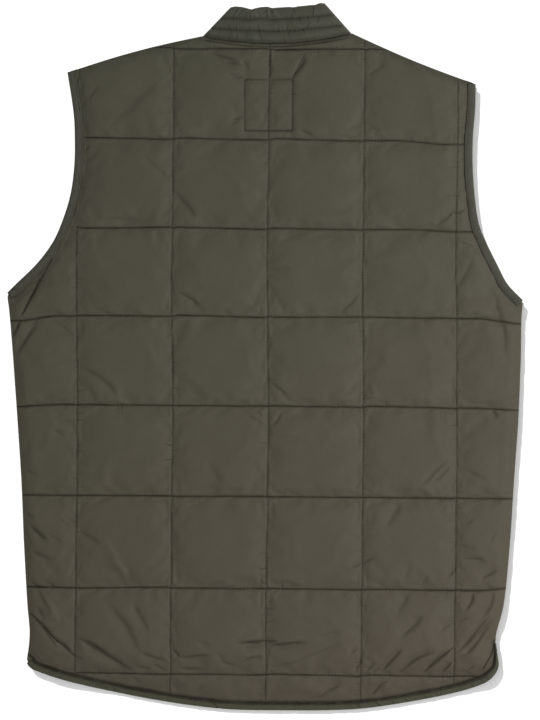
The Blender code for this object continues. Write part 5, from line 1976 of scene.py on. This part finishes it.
class GILET_OT_collar(bpy.types.Operator):
    """Make the channelled collar"""

    bl_idname = "gilet.collar"
    bl_label = "Collar"

    def execute(self, context):
        sizes = context.scene.gilet_sizes
        rings, heights = collar_rings(sizes)
        faces = ring_faces(*rings.shape[:2])
        cloth = collar_material(context.scene.gilet_colours, sizes)
        piece = add_mesh("channelled_collar", rings.reshape(-1, 3), faces, cloth)
        up = np.tile(heights, len(rings)) * sizes.collar_height
        lines = np.array(COLLAR_LINES[:-1]) * sizes.collar_height
        from_line = np.abs(up[:, None] - lines) + np.array([NECK_PALE, COLLAR_PALE, COLLAR_PALE])
        away = np.full(len(up), FAR)
        add_layer(piece, "from_seams", np.column_stack([from_line.min(axis=1), away, away]))
        add_layer(piece, "band", np.column_stack([FAR + rings[..., 0].ravel(), up - lines[0], 0.0 * up]))
        add_sharp(piece, rings.reshape(-1, 3))
        fitted(piece, "quilted_cloth", "collar")
        return {"FINISHED"}


class GILET_OT_bindings(bpy.types.Operator):
    """Make the tapes that bind the armholes and the hems"""

    bl_idname = "gilet.bindings"
    bl_label = "Bindings"

    def execute(self, context):
        sizes = context.scene.gilet_sizes
        surface = tape_material(context.scene.gilet_colours)

        def run_out(points):
            return tape_reach(points, sizes)

        def full(points):
            return np.full(len(points), sizes.binding_reach)

        tapes = [("hem_tape_back", "hem_binding_back", smooth_path(BACK_HEM), back_inside)]
        for side, word in enumerate(WORDS):
            edge = armhole_path(side) if side == RIGHT else armhole_path(side)[::-1]
            hem = front_hem(side) if side == LEFT else front_hem(side)[::-1]
            for half, base in (("back", back_inside), ("front", on_floor)):
                name = f"{word}_{half}"
                tapes.append((f"armhole_tape_{name}", f"armhole_binding_{name}", edge, base))
            tapes.append((f"hem_tape_front_{word}", f"hem_binding_front_{word}", hem, on_floor))
        for index, (name, node, path, base) in enumerate(tapes):
            reaches = run_out if base is back_inside else full
            hem = name.startswith("hem")
            relief = 1.0 if hem else ARMHOLE_RELIEF
            rings, strip, inner = tape_rings(path, base, reaches, relief, sizes, SEED_TAPE + 2 * index)
            piece = add_mesh(name, rings.reshape(-1, 3), ring_faces(*rings.shape[:2]), surface)
            # Painted shade along the tape's inner edge: strong on the hems, faint on the armholes
            add_layer(piece, "inner", (HEM_TAPE_SHADE if hem else ARMHOLE_TAPE_SHADE) * inner)
            add_layer(piece, "strip", strip)
            away = np.full(len(strip), FAR)
            add_layer(piece, "from_seams", np.column_stack([np.abs(strip[:, 1] - TAPE_SEAM), away, away]))
            add_sharp(piece, rings.reshape(-1, 3))
            fitted(piece, "binding", node)
            length = np.linalg.norm(np.diff(path, axis=0), axis=1).sum()
        return {"FINISHED"}


class GILET_OT_stitching(bpy.types.Operator):
    """Sew the lines of stitching over the back, its bindings and the collar"""

    bl_idname = "gilet.stitching"
    bl_label = "Stitching"

    def execute(self, context):
        sizes = context.scene.gilet_sizes
        surface = BackSurface(sizes)
        outline = back_outline()
        colours = context.scene.gilet_colours
        finish = (THREAD_WEAR, THREAD_ROUGH, THREAD_FINISH)
        turn, rise = math.cos(sizes.quilt_lean), math.sin(sizes.quilt_lean)
        along_unit, across_unit = np.array([rise, turn]), np.array([turn, -rise])
        centre = np.array(QUILT_CENTRE)
        corner_across, corner_along = armhole_corner(sizes)
        lines = []
        for line in UPRIGHT_LINES:
            end = corner_along if line == UPRIGHT_LINES[0] else UPRIGHT_SPAN[1]
            measure = np.arange(UPRIGHT_SPAN[0], end, LINE_STEP)
            beside = line * sizes.quilt_across + stray_upright(measure, line, sizes)
            lines.append(centre + np.outer(beside, across_unit) + np.outer(measure, along_unit))
        for line in LEVEL_LINES:
            start = corner_across if line == ENDING_LEVEL else LEVEL_SPAN[0]
            measure = np.arange(start, LEVEL_SPAN[1], LINE_STEP)
            beside = line * sizes.quilt_along + stray_level(measure, line, sizes)
            lines.append(centre + np.outer(measure, across_unit) + np.outer(beside, along_unit))
        corners = box_corners()
        lines += [np.array(pair) for pair in zip(corners, corners[1:])]
        marks = np.concatenate([stitch_marks(line, sizes) for line in lines])
        middles = marks.mean(axis=1)
        shown = outline.holds(middles, EDGE_CLEAR)
        shown &= surface.past_binding(middles) > BINDING_CLEAR
        shown &= distance_to(middles, surface.neck) > NECK_CLEAR
        share = np.linspace(*NECK_SPAN, 4 * CURVE_SAMPLES)
        neck = back_neck(share)
        neck_marks = stitch_marks(neck - NECK_STITCH * inward(neck), sizes)
        neck_marks = neck_marks[outline.holds(neck_marks.mean(axis=1), EDGE_CLEAR)]
        marks = np.concatenate([marks[shown], neck_marks])
        levels = surface.over(marks.reshape(-1, 2)).reshape(-1, 2)
        up = collar_top(share) - neck
        rows = [neck + drooped(np.array([line]), share) * up for line in COLLAR_LINES[1:-1]]
        collar = np.concatenate([stitch_marks(row, sizes) for row in rows])
        marks = np.concatenate([marks, collar])
        levels = np.concatenate([levels, back_inside(collar) + COLLAR_LINE_WALL])
        thread = worn_material("quilting thread", colours.thread, *finish)
        piece = add_mesh("quilt_stitching", *stitch_mesh(marks, levels, sizes), thread)
        fitted(piece, "quilted_cloth")
        rows, levels = [], []
        for path, relief in zip(surface.bound, (1.0, ARMHOLE_RELIEF, ARMHOLE_RELIEF)):
            reach = tape_reach(path, sizes) * (1.0 - TAPE_STITCH / sizes.binding_reach)
            rows.append(stitch_marks(path + reach[:, None] * inward(path), sizes))
            levels.append(back_inside(rows[-1]) + sizes.binding_tall - TAPE_GROOVE * relief)
        marks, levels = np.concatenate(rows), np.concatenate(levels)
        thread = worn_material("binding thread", colours.binding, *finish)
        piece = add_mesh("tape_stitching", *stitch_mesh(marks, levels, sizes), thread)
        fitted(piece, "binding")
        return {"FINISHED"}


class GILET_OT_studs(bpy.types.Operator):
    """Finish the stud caps of the frame"""

    bl_idname = "gilet.studs"
    bl_label = "Studs"

    def execute(self, context):
        dye = context.scene.gilet_colours.stud
        metal = worn_material("stud bronze", dye, STUD_WEAR, STUD_ROUGH, STUD_FINISH)
        for name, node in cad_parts.items():
            if name.startswith("stud_"):
                node.data.materials.clear()
                node.data.materials.append(metal)
        return {"FINISHED"}


class GILET_OT_stage(bpy.types.Operator):
    """Set up the floor, the lights and the camera"""

    bl_idname = "gilet.stage"
    bl_label = "Stage"

    def execute(self, context):
        scene = context.scene
        stage = scene.gilet_stage
        corners = FLOOR_HALF * np.array([(-1.0, -1.0), (1.0, -1.0), (1.0, 1.0), (-1.0, 1.0)])
        corners = np.column_stack([corners, np.full(len(corners), -SEAM_GAP)])
        floor = add_mesh("floor", corners, [np.array([[0, 1, 2, 3]])], floor_material(scene.gilet_colours))
        floor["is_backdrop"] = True
        target = Vector((0.0, 0.0, 0.0))
        for name, kind, place, width, power, state in (
            ("key light", "AREA", (1.3, 0.7, 1.2), 0.6, stage.key_power, "EXCLUDE"),
            ("top light", "AREA", (0.85, -0.45, 1.45), 1.0, stage.top_power, "EXCLUDE"),
            ("floor light", "SUN", (-0.65, 1.1, 1.0), 0.05, stage.floor_light, "INCLUDE"),
            ("floor fill", "SUN", (0.0, 0.0, 1.0), 0.05, stage.floor_fill, "INCLUDE"),
        ):
            lamp = bpy.data.lights.new(name, kind)
            lamp.energy = power
            if kind == "AREA":
                lamp.shape = "DISK"
                lamp.size = width
            else:
                lamp.angle = width
            light = bpy.data.objects.new(name, lamp)
            light.location = place
            light.rotation_euler = (target - Vector(place)).to_track_quat("-Z", "Y").to_euler()
            scene.collection.objects.link(light)
            lit = bpy.data.collections.new(f"{name} on the floor")
            lit.objects.link(floor)
            lit.collection_objects[0].light_linking.link_state = state
            light.light_linking.receiver_collection = lit
        world = bpy.data.worlds.new("even light")
        world.use_nodes = True
        sky = world.node_tree.nodes["Background"].inputs
        sky["Color"].default_value = (1.0, 1.0, 1.0, 1.0)
        sky["Strength"].default_value = stage.sky_strength
        scene.world = world
        lens = bpy.data.cameras.new("camera")
        lens.lens = stage.lens
        lens.sensor_width = SENSOR_WIDTH
        camera = bpy.data.objects.new("camera", lens)
        away = stage.view_long * stage.lens / lens.sensor_width
        camera.location = (*CAMERA_AIM, away + CAMERA_LEVEL)
        scene.collection.objects.link(camera)
        scene.camera = camera
        scene.view_settings.view_transform = "Standard"
        return {"FINISHED"}


class GILET_PT_panel(bpy.types.Panel):
    """Lists the gilet's sizes, colours and steps"""

    bl_label = "Gilet"
    bl_idname = "GILET_PT_panel"
    bl_space_type = "VIEW_3D"
    bl_region_type = "UI"
    bl_category = "Gilet"

    def draw(self, context):
        for step in STEPS:
            self.layout.operator(step.bl_idname)
        for group in (context.scene.gilet_sizes, context.scene.gilet_colours, context.scene.gilet_stage):
            box = self.layout.box()
            for name in group.__annotations__:
                box.prop(group, name)


STEPS = (
    GILET_OT_back,
    GILET_OT_fronts,
    GILET_OT_collar,
    GILET_OT_bindings,
    GILET_OT_stitching,
    GILET_OT_studs,
    GILET_OT_stage,
)
GROUPS = {"gilet_sizes": GiletSizes, "gilet_colours": GiletColours, "gilet_stage": GiletStage}


def register():
    """Make the properties, operators and panel known."""
    for kind in (*GROUPS.values(), *STEPS, GILET_PT_panel):
        bpy.utils.register_class(kind)
    for name, kind in GROUPS.items():
        setattr(bpy.types.Scene, name, PointerProperty(type=kind))


def unregister():
    """Take them away again."""
    for name in GROUPS:
        delattr(bpy.types.Scene, name)
    for kind in reversed((*GROUPS.values(), *STEPS, GILET_PT_panel)):
        bpy.utils.unregister_class(kind)


def main():
    """Build the whole gilet."""
    register()
    bpy.ops.gilet.back()
    bpy.ops.gilet.fronts()
    bpy.ops.gilet.collar()
    bpy.ops.gilet.bindings()
    bpy.ops.gilet.stitching()
    bpy.ops.gilet.studs()
    bpy.ops.gilet.stage()
    boxes = {"cad": CAD_BOX, "visual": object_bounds()}
    {name: [list(corner) for corner in box] for name, box in boxes.items()}


if __name__ == "__main__":
    main()
